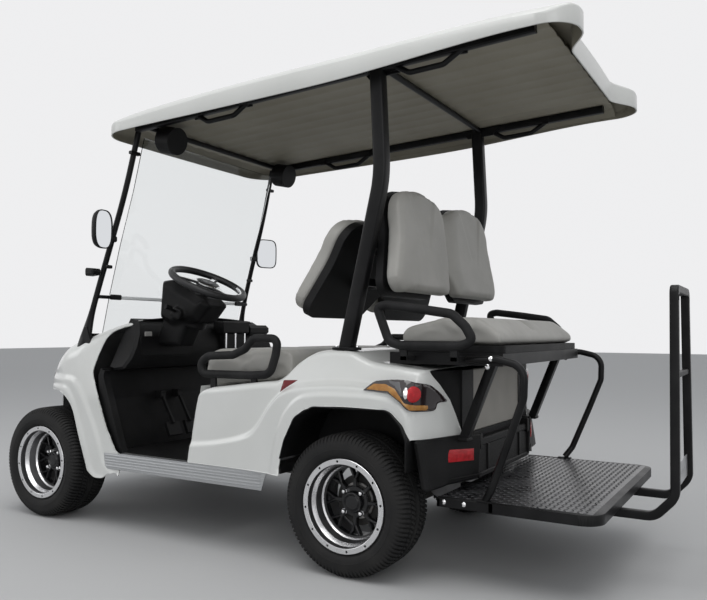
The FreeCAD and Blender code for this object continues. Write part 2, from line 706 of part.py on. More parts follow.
# Sill extrusions: a ribbed outer web with a tread flange and a lower return.
rocker_front_y = front_axle_y + 408.0
rocker_rear_y = rear_axle_y - 350.0
rocker_t = 4.0
rocker_rib = 2.2
rocker_ribs = 5
tread_in_x = body_half_w - 26.0
rockers = []
for side in (1, -1):
    face_x = body_half_w + seat_gap
    low_z = sill_z - rocker_h
    web = [slab([(rocker_front_y, sill_z - 3.7, 0), (rocker_rear_y - 6, sill_z - 3.7, 0),
                 (rocker_rear_y - 30, low_z, 0), (rocker_front_y + 10, low_z, 0)], "x", face_x, face_x + rocker_t)]
    for i in range(rocker_ribs):
        z = low_z + 10 + i * 12.0
        web.append(box(face_x + rocker_t - 0.5, face_x + rocker_t + rocker_rib, rocker_front_y + 12,
                       rocker_rear_y - 34, z, z + 5))
    web.append(box(tread_in_x, face_x + rocker_t, front_axle_y + 510, rocker_rear_y - 10,
                   floor_z + floor_t + seat_gap, sill_z - 0.2))
    whole = fuse(web)
    if side < 0:
        whole = whole.mirror(Vector(0, 0, 0), Vector(1, 0, 0))
    rockers.append(whole)
parts["rocker_panels"] = group(rockers)

# Rear bumper: wraps from one wheel opening round the tail to the other.
bumper_side = [
    (268, 500, 0), (300, 437, 0), (330, 352, 20), (350, 330, 10), (440, 360, 20), (508, 388, 30), (522, 430, 30),
    (516, 500, 12), (496, 528, 8), (400, 515, 30),
]
bumper_half_w = body_half_w + 10.0
bumper_wall = 8.0
bumper_tail = 524.0
bumper_corner = 48.0


def bumper_form(inset, front):
    """Plan of the bumper with its swept corners, moved inward by inset, from the distance front behind the axle."""
    w, tail = bumper_half_w - inset, bumper_tail - inset * 1.25
    corner = w - bumper_corner
    return [(-w, front, 0), (-w, 440, 60 - inset), (-corner, tail, 50), (corner, tail, 50), (w, 440, 60 - inset),
            (w, front, 0)]


bumper = slab(moved(bumper_side, rear_axle_y), "x", -beyond_sides, beyond_sides)
bumper = bumper.common(slab([(x, y + rear_axle_y, r) for x, y, r in bumper_form(0, 100)], "z", 200, 700))
bumper = bumper.cut(slab([(x, y + rear_axle_y, r) for x, y, r in bumper_form(bumper_wall, 60)], "z", 300, 509))
ledge_w = 46.0
bumper = bumper.cut(box(-(body_half_w - ledge_w), body_half_w - ledge_w, rear_axle_y + 200,
                        rear_axle_y + 514 - ledge_w, 480, 560))
bumper_ties = []
for side in (1, -1):
    low, high = sorted((side * (rail_x_frame - 12), side * (rail_x_frame + 12)))
    bumper_ties.append(box(low, high, frame_rear_y + seat_gap, rear_axle_y + 519, 386, 414))
parts["rear_bumper"] = fuse([bumper] + bumper_ties)

# Dashboard and the pod round the steering column.
dash_half_w = body_half_w - body_wall - tumble - 2
dash_side = [
    (352, 706, 0), (376, 738, 0), (450, 858, 110), (572, 908, 60), (628, 934, 20), (700, 930, 30),
    (722, 900, 30), (690, 800, 40), (590, 730, 60), (420, 690, 0),
]
dash = slab(moved(dash_side, front_axle_y), "x", -dash_half_w, dash_half_w)
dash = dash.common(cowl_form(-body_wall - seat_gap, 600))
pocket_side = [(560, 750, 10), (740, 810, 0), (740, 880, 0), (560, 870, 20)]
for low, high in ((-470, -130), (430, 540), (-60, 120)):
    dash = dash.cut(slab(moved(pocket_side, front_axle_y), "x", low, high))
parts["dashboard"] = dash

wheel_x = 300.0
wheel_tilt_deg = 25.0
wheel_ring_r = 178.0
wheel_tube_r = 15.0
wheel_centre_y = front_axle_y + 720.0
wheel_centre_z = 1092.0
column_r = 21.0
tilt = math.radians(wheel_tilt_deg)
column_way = Vector(0, math.sin(tilt), math.cos(tilt))
wheel_centre = Vector(wheel_x, wheel_centre_y, wheel_centre_z)


def along_column(shape):
    """Turn a shape made about the Z axis onto the steering column and bring it to the wheel's centre."""
    placed = shape.copy()
    placed.rotate(Vector(0, 0, 0), Vector(1, 0, 0), -wheel_tilt_deg)
    placed.translate(wheel_centre)
    return placed


ring = Part.makeTorus(wheel_ring_r, wheel_tube_r)
wheel_hub = Part.makeCylinder(46, 30, Vector(0, 0, -26))
spokes = [ring, wheel_hub]
for angle in (90, 210, 330):
    spoke = slab([(36, -24, 0), (wheel_ring_r, -13, 0), (wheel_ring_r, 13, 0), (36, 24, 0)], "z", -8, 0)
    spoke.rotate(Vector(0, 0, 0), Vector(0, 0, 1), angle)
    spokes.append(spoke)
spokes.append(Part.makeCylinder(column_r - seat_gap, 70, Vector(0, 0, -90)))
parts["steering_wheel"] = along_column(fuse(spokes))

pod_drop = 62.0
pod = Part.makeCone(34, 64, 150, Vector(0, 0, -pod_drop - 150 + 150), Vector(0, 0, -1))
pod = fuse([
    pod,
    slab([(-70, -60, 30), (70, -60, 30), (70, 40, 20), (-70, 40, 20)], "z", -330, -pod_drop - 60),
    slab([(-104, -66, 30), (104, -66, 30), (104, 10, 20), (-104, 10, 20)], "z", -190, -150),
])
pod = pod.cut([Part.makeCylinder(column_r, 60, Vector(0, 0, -pod_drop - 50))])
pod = along_column(pod).cut([dash, cowl_form(seat_gap, 600)])
parts["steering_pod"] = pod

# Pedals hang from the toe board on flat arms.
pedal_specs = ((150.0, 64.0, 62.0), (262.0, 84.0, 62.0))
pedals = []
for x, width, height in pedal_specs:
    y = floor_front_y + 42
    arm = slab([(y - 45, 560, 4), (y - 30, 560, 4), (y + 50, 430, 4), (y + 36, 424, 4)], "x", x - 6, x + 6)
    pad = slab([(y + 20, 430, 3), (y + 36, 436, 3), (y + 36 + height * 0.45, 436 - height, 3),
                (y + 22 + height * 0.45, 430 - height, 3)], "x", x - width / 2, x + width / 2)
    mount = slab([(floor_front_y - 32 + 0, 545, 0), (y - 28, 545, 3), (y - 28, 580, 3),
                  (floor_front_y - 32 - 4, 580, 0)], "x", x - 16, x + 16)
    pedals.append(fuse([arm, pad, mount]).cut(parts["floor_tub"]))
parts["pedals"] = group(pedals)

# Windshield struts, the bar across their tops and the two-piece windshield.
strut_tube_r = 13.0
# Columns: distance from the middle, distance from the nose to the tail, height
front_strut = [
    (560, front_axle_y + 186, 776), (536, front_axle_y + 232, 1000), (521, front_axle_y + 318, 1270),
    (510, front_axle_y + 400, 1520), (500, front_axle_y + 470, rail_front_z),
]
pane_t = 5.0
pane_half_w = 478.0
fold_seam_z = 1030.0
# Outer faces of the fixed lower pane and of the hinged upper one: distance along the cart, height
pane_low = [(front_axle_y + 218, 850), (front_axle_y + 262, fold_seam_z)]
pane_high = [(front_axle_y + 262, fold_seam_z + seat_gap), (front_axle_y + 330, 1270), (front_axle_y + 412, 1520),
             (front_axle_y + 478, 1762)]


def at_height(line, z):
    """The coordinates before the height, where a line whose points end in their height reaches z."""
    for low, high in zip(line, line[1:]):
        if z <= high[-1] or high is line[-1]:
            share = (z - low[-1]) / (high[-1] - low[-1])
            return [a + (b - a) * share for a, b in zip(low[:-1], high[:-1])]


# Heights of the tabs that hold each pane to the struts
pane_tabs = ((pane_low, fold_seam_z - 98), (pane_high, fold_seam_z + 46), (pane_high, 1462.0), (pane_high, 1690.0))
struts = []
for side in (1, -1):
    points = [(side * p[0], p[1], p[2]) for p in front_strut]
    bar = tube(points, strut_tube_r, 400)
    for pane_line, z in pane_tabs:
        bar_x, bar_y = at_height(front_strut, z)
        low, high = sorted((side * (pane_half_w + seat_gap), side * bar_x))
        bar = bar.fuse(box(low, high, bar_y - 6, at_height(pane_line, z)[0] + pane_t, z - 9, z + 9))
    struts.append(bar.cut(cowl_form(seat_gap, 600)).removeSplitter())

# Roof rails, their cross tubes and the assist handles.
rail_front_y = front_axle_y + 500.0
roof_rear_y = rear_axle_y + 815.0
rail_rear_y = roof_rear_y - 146.0
rail_slope = rail_rise / (rail_rear_y - rail_front_y)


def rail_z(y):
    return rail_front_z + rail_slope * (y - rail_front_y)


handle_r = 9.0
cross_tube_r = 11.0
handle_drop = 36.0
handle_places = ((rear_axle_y + 200, rear_axle_y + 335), (rear_axle_y - 770, rear_axle_y - 625))
rail_set = []
for side in (1, -1):
    bars = [tube([(side * rail_x, rail_front_y - 30, rail_z(rail_front_y - 30)),
                  (side * rail_x, rail_rear_y, rail_z(rail_rear_y))], rail_r, 100)]
    for low, high in handle_places:
        bars.append(tube([(side * rail_x, low - 70, rail_z(low)), (side * rail_x, low, rail_z(low) - handle_drop),
                          (side * rail_x, high, rail_z(high) - handle_drop),
                          (side * rail_x, high + 70, rail_z(high))], handle_r, 24))
    rail_set += bars
cross_places = (rail_front_y + 24, rear_axle_y + 84, rail_rear_y - 40)
for y in cross_places:
    rail_set.append(rod((-rail_x, y, rail_z(y)), (rail_x, y, rail_z(y)), cross_tube_r))
rails_node = fuse(rail_set)
parts["roof_rails"] = rails_node
rail_clear = [rod((side * rail_x, rail_front_y - 60, rail_z(rail_front_y - 60)),
                  (side * rail_x, rail_front_y + 200, rail_z(rail_front_y + 200)), rail_r + seat_gap)
              for side in (1, -1)]
parts["windshield_struts"] = group([strut.cut(rail_clear) for strut in struts])

# Roof canopy: a thin crowned tray with a side lip, rounded at the front and notched at the tail.
roof_front_y = front_axle_y + 300.0


# Columns: distance behind the front axle, height of the lip's lower edge, lip's top, shoulder, crown
roof_stations = (
    (290.0, 1772.0, 1788.0, 1800.0, 1812.0),
    (395.0, 1772.0, 1806.0, 1842.0, 1868.0),
    (597.0, 1778.0, 1823.0, 1868.0, 1905.0),
    (1100.0, 1790.0, 1855.0, 1895.0, 1930.0),
    (1628.0, 1808.0, 1873.0, 1912.0, 1946.0),
    (2224.0, 1852.0, 1896.0, 1932.0, 1956.0),
    (2560.0, 1858.0, 1884.0, 1926.0, 1948.0),
)
roof_shoulder_in = 62.0


def roof_form(out, drop):
    """The roof's outside along the cart, moved outward by out, its lower edge let down by drop."""
    wires = []
    for back, low, lip, shoulder, crown in roof_stations:
        y = front_axle_y + back
        w, inner = roof_half_w + out, roof_half_w + out - roof_shoulder_in
        low_z = low - drop
        mid = Vector(w - roof_shoulder_in * 0.36, y, lip + (shoulder - lip) * 0.66 + out)
        wires.append(Part.Wire([
            Part.LineSegment(Vector(-w, y, low_z), Vector(w, y, low_z)).toShape(),
            Part.LineSegment(Vector(w, y, low_z), Vector(w, y, lip + out)).toShape(),
            Part.Arc(Vector(w, y, lip + out), mid, Vector(inner, y, shoulder + out)).toShape(),
            Part.Arc(Vector(inner, y, shoulder + out), Vector(0, y, crown + out),
                     Vector(-inner, y, shoulder + out)).toShape(),
            Part.Arc(Vector(-inner, y, shoulder + out), Vector(-mid.x, y, mid.z), Vector(-w, y, lip + out)
                     ).toShape(),
            Part.LineSegment(Vector(-w, y, lip + out), Vector(-w, y, low_z)).toShape(),
        ]))
    return Part.makeLoft(wires, True, False)


def roof_plan(out):
    w, front = roof_half_w + out, roof_front_y - out
    tip, notch, cut = roof_rear_y + out, roof_rear_y - 72 + out, 170.0
    return [
        (-w, front + 150, 140), (-w + 150, front + 8, 120), (0, front, 0), (w - 150, front + 8, 120),
        (w, front + 150, 140), (w, tip - 30, 20), (w - 70, tip, 40), (w - cut, notch, 160), (-w + cut, notch, 160),
        (-w + 70, tip, 40), (-w, tip - 30, 20),
    ]


def roof_block(out, drop):
    return roof_form(out, drop).common(slab(roof_plan(out), "z", 1500, 2100))


parts["roof_canopy"] = roof_block(0, 0).cut(roof_block(-roof_wall, 60))

# Ceiling panel: a corrugated sheet that lies on the rails inside the lip.
ceiling_t = 4.0
ceiling_half_w = roof_half_w - roof_wall - seat_gap
ribs = 12
rib_pitch = 2 * (ceiling_half_w - 40) / ribs
rib_h = rail_r - cross_tube_r
ceiling_edge_drop = 30.0
ceiling_points = [(-ceiling_half_w, -ceiling_edge_drop, 0), (-ceiling_half_w + 38, 0, 0)]
for i in range(ribs):
    x = -ceiling_half_w + 40 + i * rib_pitch
    ceiling_points += [(x + rib_pitch * 0.1, 0, 0), (x + rib_pitch * 0.25, rib_h, 0),
                       (x + rib_pitch * 0.75, rib_h, 0), (x + rib_pitch * 0.9, 0, 0)]
ceiling_points += [(ceiling_half_w - 38, 0, 0), (ceiling_half_w, -ceiling_edge_drop, 0)]
ceiling_points += [(p[0], p[1] + ceiling_t, 0) for p in reversed(ceiling_points)]
ceiling_front_y = roof_front_y + 130.0
ceiling_rear_y = roof_rear_y - 110.0
ceiling = slab(ceiling_points, "y", 0, ceiling_rear_y - ceiling_front_y)
ceiling.rotate(Vector(0, 0, 0), Vector(1, 0, 0), math.degrees(math.atan(rail_slope)))
ceiling.translate(Vector(0, ceiling_front_y, rail_z(ceiling_front_y) + cross_tube_r + seat_gap))
parts["roof_ceiling"] = ceiling.common(slab(roof_plan(-roof_wall - seat_gap), "z", 1600, 2000))

# Speakers hang in round housings behind the front cross tube.
speaker_x = 430.0
speaker_r = 62.0
speakers = []
for side in (1, -1):
    y = rail_front_y + 104
    z = rail_z(y)
    can = rod((side * speaker_x, y - 40, z - 52), (side * speaker_x, y + 40, z - 70), speaker_r)
    arm = box(side * speaker_x - 14, side * speaker_x + 14, rail_front_y + 24 + 11 + seat_gap, y - 20, z - 16, z)
    speakers.append(fuse([can, arm]))
parts["roof_speakers"] = group(speakers)

# Main struts stand on the hump and carry the rails; round flanges bolt them to the body.
strut_foot_y = rear_axle_y - 64.0
strut_foot_z = 803.0
main_struts = []
for side in (1, -1):
    top_z = rail_z(strut_foot_y + 129) - rail_r - seat_gap
    path = [(side * strut_x, strut_foot_y, strut_foot_z + 2), (side * strut_x, strut_foot_y + 150, 1450),
            (side * strut_x, strut_foot_y + 129, top_z)]
    bar = square_bar(path, strut_w, strut_w + 6, 500, (1, 0, 0))
    flange = Part.makeCylinder(44, 10, Vector(side * strut_x, strut_foot_y, strut_foot_z + seat_gap))
    below = box(-beyond_sides, beyond_sides, strut_foot_y - 200, strut_foot_y + 200, strut_foot_z - 60,
                strut_foot_z + seat_gap)
    main_struts.append(fuse([bar, flange]).cut(below))
parts["main_struts"] = group(main_struts)

# Two-piece windshield between the struts, hinged at its middle seam.
def pane(line):
    outline = [(y, z, 0) for y, z in line] + [(y + pane_t, z, 0) for y, z in reversed(line)]
    return slab(outline, "x", -pane_half_w, pane_half_w)


parts["windshield_panes"] = group([pane(pane_low).cut(cowl_form(seat_gap, 600)), pane(pane_high)])

# Frame of the rear seat: box tubes on posts that stand on the chassis, with diagonal braces.
seat_frame_z = 758.0
seat_frame_h = 42.0
seat_frame_top_z = seat_frame_z + seat_frame_h
seat_frame_front_y = rear_axle_y + 118.0
seat_frame_rear_y = rear_axle_y + 548.0
seat_frame_half_w = 500.0
brace_x = 400.0
step_arm_top_z = 326.0
brace_foot_z = step_arm_top_z + seat_gap
seat_frame = []
for side in (1, -1):
    outer = side * seat_frame_half_w
    low, high = sorted((outer, outer - side * 32))
    seat_frame.append(box(low, high, seat_frame_front_y, seat_frame_rear_y, seat_frame_z, seat_frame_top_z))
    seat_frame.append(square_bar([(side * brace_x, seat_frame_rear_y - 70, seat_frame_z + 6),
                                  (side * brace_x, rear_axle_y + 366, 486),
                                  (side * brace_x, rear_axle_y + 366, brace_foot_z)], 32, 32, 60, (1, 0, 0)))
    low, high = sorted((side * (rail_x_frame - 18), side * (brace_x + 16)))
    seat_frame.append(box(low, high, rear_axle_y + 350, rear_axle_y + 382, brace_foot_z, brace_foot_z + 32))
for y in (seat_frame_front_y, rear_axle_y + 450, seat_frame_rear_y - 32):
    seat_frame.append(box(-seat_frame_half_w, seat_frame_half_w, y, y + 32, seat_frame_z, seat_frame_top_z))
parts["seat_support_frame"] = fuse(seat_frame)

# Front bench: cushion, padded back and its moulded shell.
bench_front_y = rear_axle_y - 760.0
bench_rear_y = rear_axle_y - 300.0
parts["front_seat_cushion"] = slab(
    [(rear_axle_y - 704, 642 + seat_gap, 6), (bench_front_y, 690, 20), (bench_front_y + 8, 790, 45),
     (bench_rear_y - 60, 800, 30), (bench_rear_y, 788, 20), (bench_rear_y + 4, 704, 8),
     (rear_axle_y - 310, 687 + seat_gap, 6), (rear_axle_y - 420, 668 + seat_gap, 0)],
    "x", -seat_half_w, seat_half_w)
back_line = [(rear_axle_y - 272, 940), (rear_axle_y - 96, 1330)]
back_deep = 74.0
back_lean = math.atan2(back_line[1][0] - back_line[0][0], back_line[1][1] - back_line[0][1])
back_half_w = 472.0
back_low_half_w = 545.0
notch_half_w = 118.0
notch_h = 124.0


def back_pad(base_y, base_z, lean, height, deep, front_sign, inset):
    """Two-lobed backrest pad standing on a line, leaning by an angle, facing -Y or +Y.

    A dip parts the lobes at the top, and a gable-shaped notch parts them at the bottom.
    """
    w, low_w = back_half_w - inset, back_low_half_w - inset
    half = [(notch_half_w + inset, 0, 40), (low_w, 0, 50), (w, height * 0.55, 300), (w - 8, height - 30, 110),
            (250, height, 200), (110, height - 20, 60)]
    outline = [(0, notch_h + inset, 40)] + half + [(0, height - 66, 60)] + [(-x, z, r) for x, z, r in reversed(half)]
    pad = slab(outline, "y", 0, deep)
    if front_sign < 0:
        pad.translate(Vector(0, -deep, 0))
    pad.rotate(Vector(0, 0, 0), Vector(1, 0, 0), -math.degrees(lean))
    pad.translate(Vector(0, base_y, base_z))
    return pad


back_height = math.hypot(back_line[1][0] - back_line[0][0], back_line[1][1] - back_line[0][1])
parts["front_seat_back"] = back_pad(back_line[0][0], back_line[0][1], back_lean, back_height, back_deep, -1, 0)
shell_t = 34.0
rear_shell_t = 30.0
shell_gap = seat_gap / math.cos(back_lean)
front_shell = back_pad(back_line[0][0] + shell_gap, back_line[0][1], back_lean, back_height - 6, shell_t, 1, 6)

# Rear bench: folding cushion on its pan, and the back that faces the tail.
rear_back_line = [(rear_axle_y + 100, 1006), (rear_axle_y + 50, 1440)]
rear_back_lean = math.atan2(rear_back_line[1][0] - rear_back_line[0][0],
                            rear_back_line[1][1] - rear_back_line[0][1])
rear_back_height = 438.0
parts["rear_seat_back"] = back_pad(rear_back_line[0][0], rear_back_line[0][1], rear_back_lean, rear_back_height,
                                   back_deep, 1, 0)
rear_shell = back_pad(rear_back_line[0][0] - seat_gap, rear_back_line[0][1], rear_back_lean, rear_back_height - 6,
                      rear_shell_t, -1, 14)
parts["seat_shells"] = group([front_shell, rear_shell])

# Cross tubes between the main struts carry both backs on flat arms.
back_bar = 30.0
back_bar_heights = (1060.0, 1200.0)
arm_x = (-250.0, 250.0)
back_frame = []
for z in back_bar_heights:
    y = strut_foot_y + 150 * (z - strut_foot_z) / (1450 - strut_foot_z)
    inner = strut_x - strut_w / 2 - seat_gap
    back_frame.append(box(-inner, inner, y - back_bar / 2, y + back_bar / 2, z - back_bar / 2, z + back_bar / 2))
    front_face = back_line[0][0] + math.tan(back_lean) * (z - back_line[0][1]) + shell_t / math.cos(back_lean)
    rear_face = rear_back_line[0][0] + math.tan(rear_back_lean) * (z - rear_back_line[0][1]) - rear_shell_t
    for x in arm_x:
        back_frame.append(box(x - 20, x + 20, front_face - 14, rear_face + 12, z - 12, z + 12))
front_shell_room = front_shell.translated(Vector(0, seat_gap, 0))
rear_shell_room = rear_shell.translated(Vector(0, -seat_gap, 0))
parts["seat_back_frame"] = fuse(back_frame).cut([front_shell_room, rear_shell_room])

fold_y = seat_frame_rear_y - 3.0
fold_z = seat_frame_top_z + 14.0
pan_t = 26.0
pan_half_w = seat_frame_half_w - 4.0
pan_front_y = seat_frame_front_y + 24.0
pan_z = seat_frame_top_z + seat_gap
parts["rear_seat_pan"] = slab([(-pan_half_w, pan_front_y, 30), (pan_half_w, pan_front_y, 30),
                               (pan_half_w, fold_y, 40), (-pan_half_w, fold_y, 40)], "z", pan_z, pan_z + pan_t)
cushion_z = pan_z + pan_t + seat_gap
cushion_half_w = pan_half_w - 10.0
parts["rear_seat_cushion"] = slab(
    [(pan_front_y + 6, cushion_z, 10), (pan_front_y + 2, cushion_z + 66, 40),
     (pan_front_y + 190, cushion_z + 100, 300),
     (fold_y - 84, cushion_z + 92, 60), (fold_y - 11, cushion_z + 30, 30), (fold_y - 12, cushion_z, 8)],
    "x", -cushion_half_w, cushion_half_w)

# Padded armrest loops beside both benches.
arm_r = 17.0
front_arm_x = body_half_w - 35.0
front_arm = [
    (-722, 696, 0), (-734, 742, 0), (-690, 770, 0), (-560, 776, 0), (-500, 800, 0), (-455, 845, 0),
    (-335, 844, 0), (-346, 780, 0), (-372, 704, 0), (-470, 697, 0),
]
rear_arm_x = seat_frame_half_w + 66.0
rear_arm = [
    (100, 962, 0), (150, 836, 0), (196, 825, 0), (420, 825, 0), (470, 842, 0), (440, 892, 0), (392, 934, 0),
    (270, 952, 0), (140, 968, 0),
]
# Feet of the loops: distance behind the rear axle, height of the foot, height inside the loop's tube
front_feet = ((-660, 646 + seat_gap, 700), (-450, 666 + seat_gap, 700))
rear_feet = ((210, 772, 820), (400, 772, 820))
seat_base_top = rear_outer.translated(Vector(0, 0, seat_gap))
arm_loops = []
for x, line, feet, on_body in ((front_arm_x, front_arm, front_feet, True), (rear_arm_x, rear_arm, rear_feet, False)):
    for side in (1, -1):
        loop = [loop_bar([(side * x, rear_axle_y + p[0], p[1]) for p in line], arm_r, 34)]
        for back, foot_z, loop_z in feet:
            y = rear_axle_y + back
            if on_body:
                loop.append(box(side * x - 8, side * x + 8, y - 14, y + 14, foot_z, loop_z).cut(seat_base_top))
            else:
                low, high = sorted((side * (seat_frame_half_w + seat_gap), side * (x + 6)))
                loop.append(box(low, high, y - 12, y + 12, foot_z, foot_z + 16))
                low, high = sorted((side * (x - 6), side * (x + 6)))
                loop.append(box(low, high, y - 12, y + 12, foot_z, loop_z))
        arm_loops.append(fuse(loop))
parts["armrests"] = group(arm_loops)

# Step behind the rear seat: a framed tread plate between two long arms from the chassis.
plate_half_w = 512.0
plate_z = 300.0
plate_t = 34.0
plate_front_y = rear_axle_y + 480.0
plate_rear_y = rear_axle_y + 865.0
step = [slab([(-plate_half_w, plate_front_y, 20), (plate_half_w, plate_front_y, 20),
              (plate_half_w, plate_rear_y, 70), (-plate_half_w, plate_rear_y, 70)], "z", plate_z - plate_t, plate_z)]
for side in (1, -1):
    low, high = sorted((side * (rail_x_frame - frame_w / 2), side * (rail_x_frame + frame_w / 2)))
    step.append(box(low, high, frame_rear_y - 38, plate_front_y + 40, plate_z - plate_t, step_arm_top_z))
    step.append(box(low, high, frame_rear_y - 38, frame_rear_y, plate_z, frame_high_z - seat_gap))
parts["footplate"] = fuse(step)

# Side bars run from the seat frame down to the step.
side_bar_x = seat_frame_half_w + 30.0
side_bar_r = 13.0
side_bar = [(430, 778), (560, 778), (632, 760), (640, 650), (590, 470), (516, 314)]
side_bars = []
for side in (1, -1):
    lug = rod((side * (seat_frame_half_w + seat_gap), rear_axle_y + 450, 778),
              (side * side_bar_x, rear_axle_y + 450, 778), 9)
    side_bars.append(fuse([tube([(side * side_bar_x, rear_axle_y + p[0], p[1]) for p in side_bar], side_bar_r, 90),
                           lug]))
parts["step_side_bars"] = group(side_bars)

# Grab bar: a square-tube loop that rises from under the step, with a crossbar and a bracket at its foot.
grab_w = 30.0
grab_low_z = plate_z - plate_t - grab_w / 2 - seat_gap
grab_y = tail_y - grab_w / 2
grab = []
for side in (1, -1):
    grab.append(square_bar([(side * 190, plate_front_y + 30, grab_low_z), (side * 190, grab_y - 66, grab_low_z),
                            (side * 190, grab_y, grab_low_z + 70), (side * 150, grab_y, 1026)],
                           grab_w, grab_w, 60, (1, 0, 0)))
grab.append(box(-150, 150, grab_y - grab_w / 2, grab_y + grab_w / 2, 1010, 1040))
grab.append(box(-166, 166, grab_y - 9, grab_y + 9, 718, 738))
parts["grab_bar"] = fuse(grab)
bracket_low = (174.0, 335.0)
bracket_high = (169.2, 415.0)
bracket_hole_r = 3.5
bracket_hole_x = 88.9
bracket_hole_z = 375.0
bracket = slab([(-bracket_low[0], bracket_low[1], 0), (bracket_low[0], bracket_low[1], 0),
                (bracket_high[0], bracket_high[1], 0), (-bracket_high[0], bracket_high[1], 0)],
               "y", grab_y - 6, grab_y - 2)
for side in (1, -1):
    x = side * bracket_hole_x
    bracket = bracket.cut(rod((x, grab_y - 20, bracket_hole_z), (x, grab_y + 20, bracket_hole_z), bracket_hole_r))
parts["plate_bracket"] = bracket

# Lamps set into the body, and the side mirrors on the struts.
lamp_side = [
    (166, 676, 0), (230, 704, 30), (330, 712, 30), (424, 640, 10), (418, 612, 10), (340, 630, 40), (240, 672, 30),
]
lamps = []
for side in (1, -1):
    low, high = sorted((side * (body_half_w - 18), side * (flare_half_w + 7)))
    lamps.append(slab(moved(lamp_side, rear_axle_y), "x", low, high))
lamp_skin = []
outer_form = rear_outer.fuse(flare_add)
for lamp in lamps:
    lamp_skin.append(lamp.common(outer_form))
parts["taillights"] = group(lamp_skin)
parts["rear_body"] = rear_body.cut(lamps)

head_lamp = [(196, 588, 12), (330, 650, 30), (520, 700, 20), (556, 690, 12), (500, 640, 30), (330, 590, 30),
             (215, 556, 12)]
head_lamps = []
for side in (1, -1):
    outline = [(side * p[0], p[1], p[2]) for p in head_lamp]
    cutter = slab(outline, "y", nose_y - 20, front_axle_y - 20)
    head_lamps.append(cowl_outer.cut(cowl_form(-body_wall, 0)).common(cutter))
parts["headlights"] = group(head_lamps)
parts["front_cowl"] = cowl_solid.cut(head_lamps)
mirror_z = 1332.0
arm_z = mirror_z - 26.0
arm_root_x, arm_root_y = at_height(front_strut, arm_z)
mirror_x = arm_root_x + 97.0
head_y = arm_root_y + 22.0
mirror_head = slab([(mirror_x - 62, mirror_z - 92, 34), (mirror_x + 48, mirror_z - 84, 34),
                    (mirror_x + 48, mirror_z + 88, 34), (mirror_x - 62, mirror_z + 92, 34)],
                   "y", head_y - 24, head_y + 24)
mirror_arm = rod((arm_root_x, arm_root_y, arm_z), (mirror_x - 40, head_y - 10, arm_z), 9)
left_mirror = fuse([mirror_head, mirror_arm]).cut(parts["windshield_struts"])
parts["side_mirrors"] = group([left_mirror, left_mirror.mirror(Vector(0, 0, 0), Vector(1, 0, 0))])

os.makedirs("parts", exist_ok=True)
for name, shape in parts.items():
    shape.exportStep("parts/" + name + ".step")
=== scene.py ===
import bmesh
import bpy
import math
from mathutils import Matrix, Vector
from mathutils.bvhtree import BVHTree


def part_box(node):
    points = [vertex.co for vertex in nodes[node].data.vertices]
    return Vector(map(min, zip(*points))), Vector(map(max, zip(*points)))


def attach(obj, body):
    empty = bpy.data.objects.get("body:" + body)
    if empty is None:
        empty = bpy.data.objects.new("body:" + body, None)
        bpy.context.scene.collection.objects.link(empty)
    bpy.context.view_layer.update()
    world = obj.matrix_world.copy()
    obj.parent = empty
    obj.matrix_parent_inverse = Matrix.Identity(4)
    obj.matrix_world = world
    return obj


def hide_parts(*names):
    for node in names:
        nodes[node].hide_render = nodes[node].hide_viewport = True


# Golf cart with a rear-facing flip seat. All lengths are in metres: +X is the cart's left, the front faces -Y.

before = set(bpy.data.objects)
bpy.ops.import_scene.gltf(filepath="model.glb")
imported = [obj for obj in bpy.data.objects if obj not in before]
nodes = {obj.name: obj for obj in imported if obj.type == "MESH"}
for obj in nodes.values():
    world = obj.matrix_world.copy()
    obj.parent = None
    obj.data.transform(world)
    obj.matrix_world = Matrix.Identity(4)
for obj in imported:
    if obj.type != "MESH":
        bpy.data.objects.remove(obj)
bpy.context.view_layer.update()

# The floor and the studio: a pale floor that runs up into a pale wall, one large soft lamp overhead and a grey sky.
floor_size = 30.0
wall_colour = (0.86, 0.86, 0.87, 1.0)
floor_mesh = bpy.data.meshes.new("studio_floor")
floor_mesh.from_pydata(
    [(-floor_size, -floor_size, 0.0), (floor_size, -floor_size, 0.0), (floor_size, floor_size, 0.0),
     (-floor_size, floor_size, 0.0)], [], [(0, 1, 2, 3)])
floor = bpy.data.objects.new("studio_floor", floor_mesh)
bpy.context.scene.collection.objects.link(floor)

floor_finish = bpy.data.materials.new("studio floor")
floor_finish.use_nodes = True
floor_nodes, floor_links = floor_finish.node_tree.nodes, floor_finish.node_tree.links
floor_shader = floor_nodes["Principled BSDF"]
floor_shader.inputs["Roughness"].default_value = 0.85
floor_grain = floor_nodes.new("ShaderNodeTexNoise")
floor_grain.inputs["Scale"].default_value = 1.5
floor_tint = floor_nodes.new("ShaderNodeValToRGB")
floor_tint.color_ramp.elements[0].color = (0.52, 0.52, 0.52, 1.0)
floor_tint.color_ramp.elements[1].color = (0.58, 0.58, 0.575, 1.0)
floor_links.new(floor_grain.outputs["Fac"], floor_tint.inputs["Fac"])
floor_links.new(floor_tint.outputs["Color"], floor_shader.inputs["Base Color"])
floor_mesh.materials.append(floor_finish)

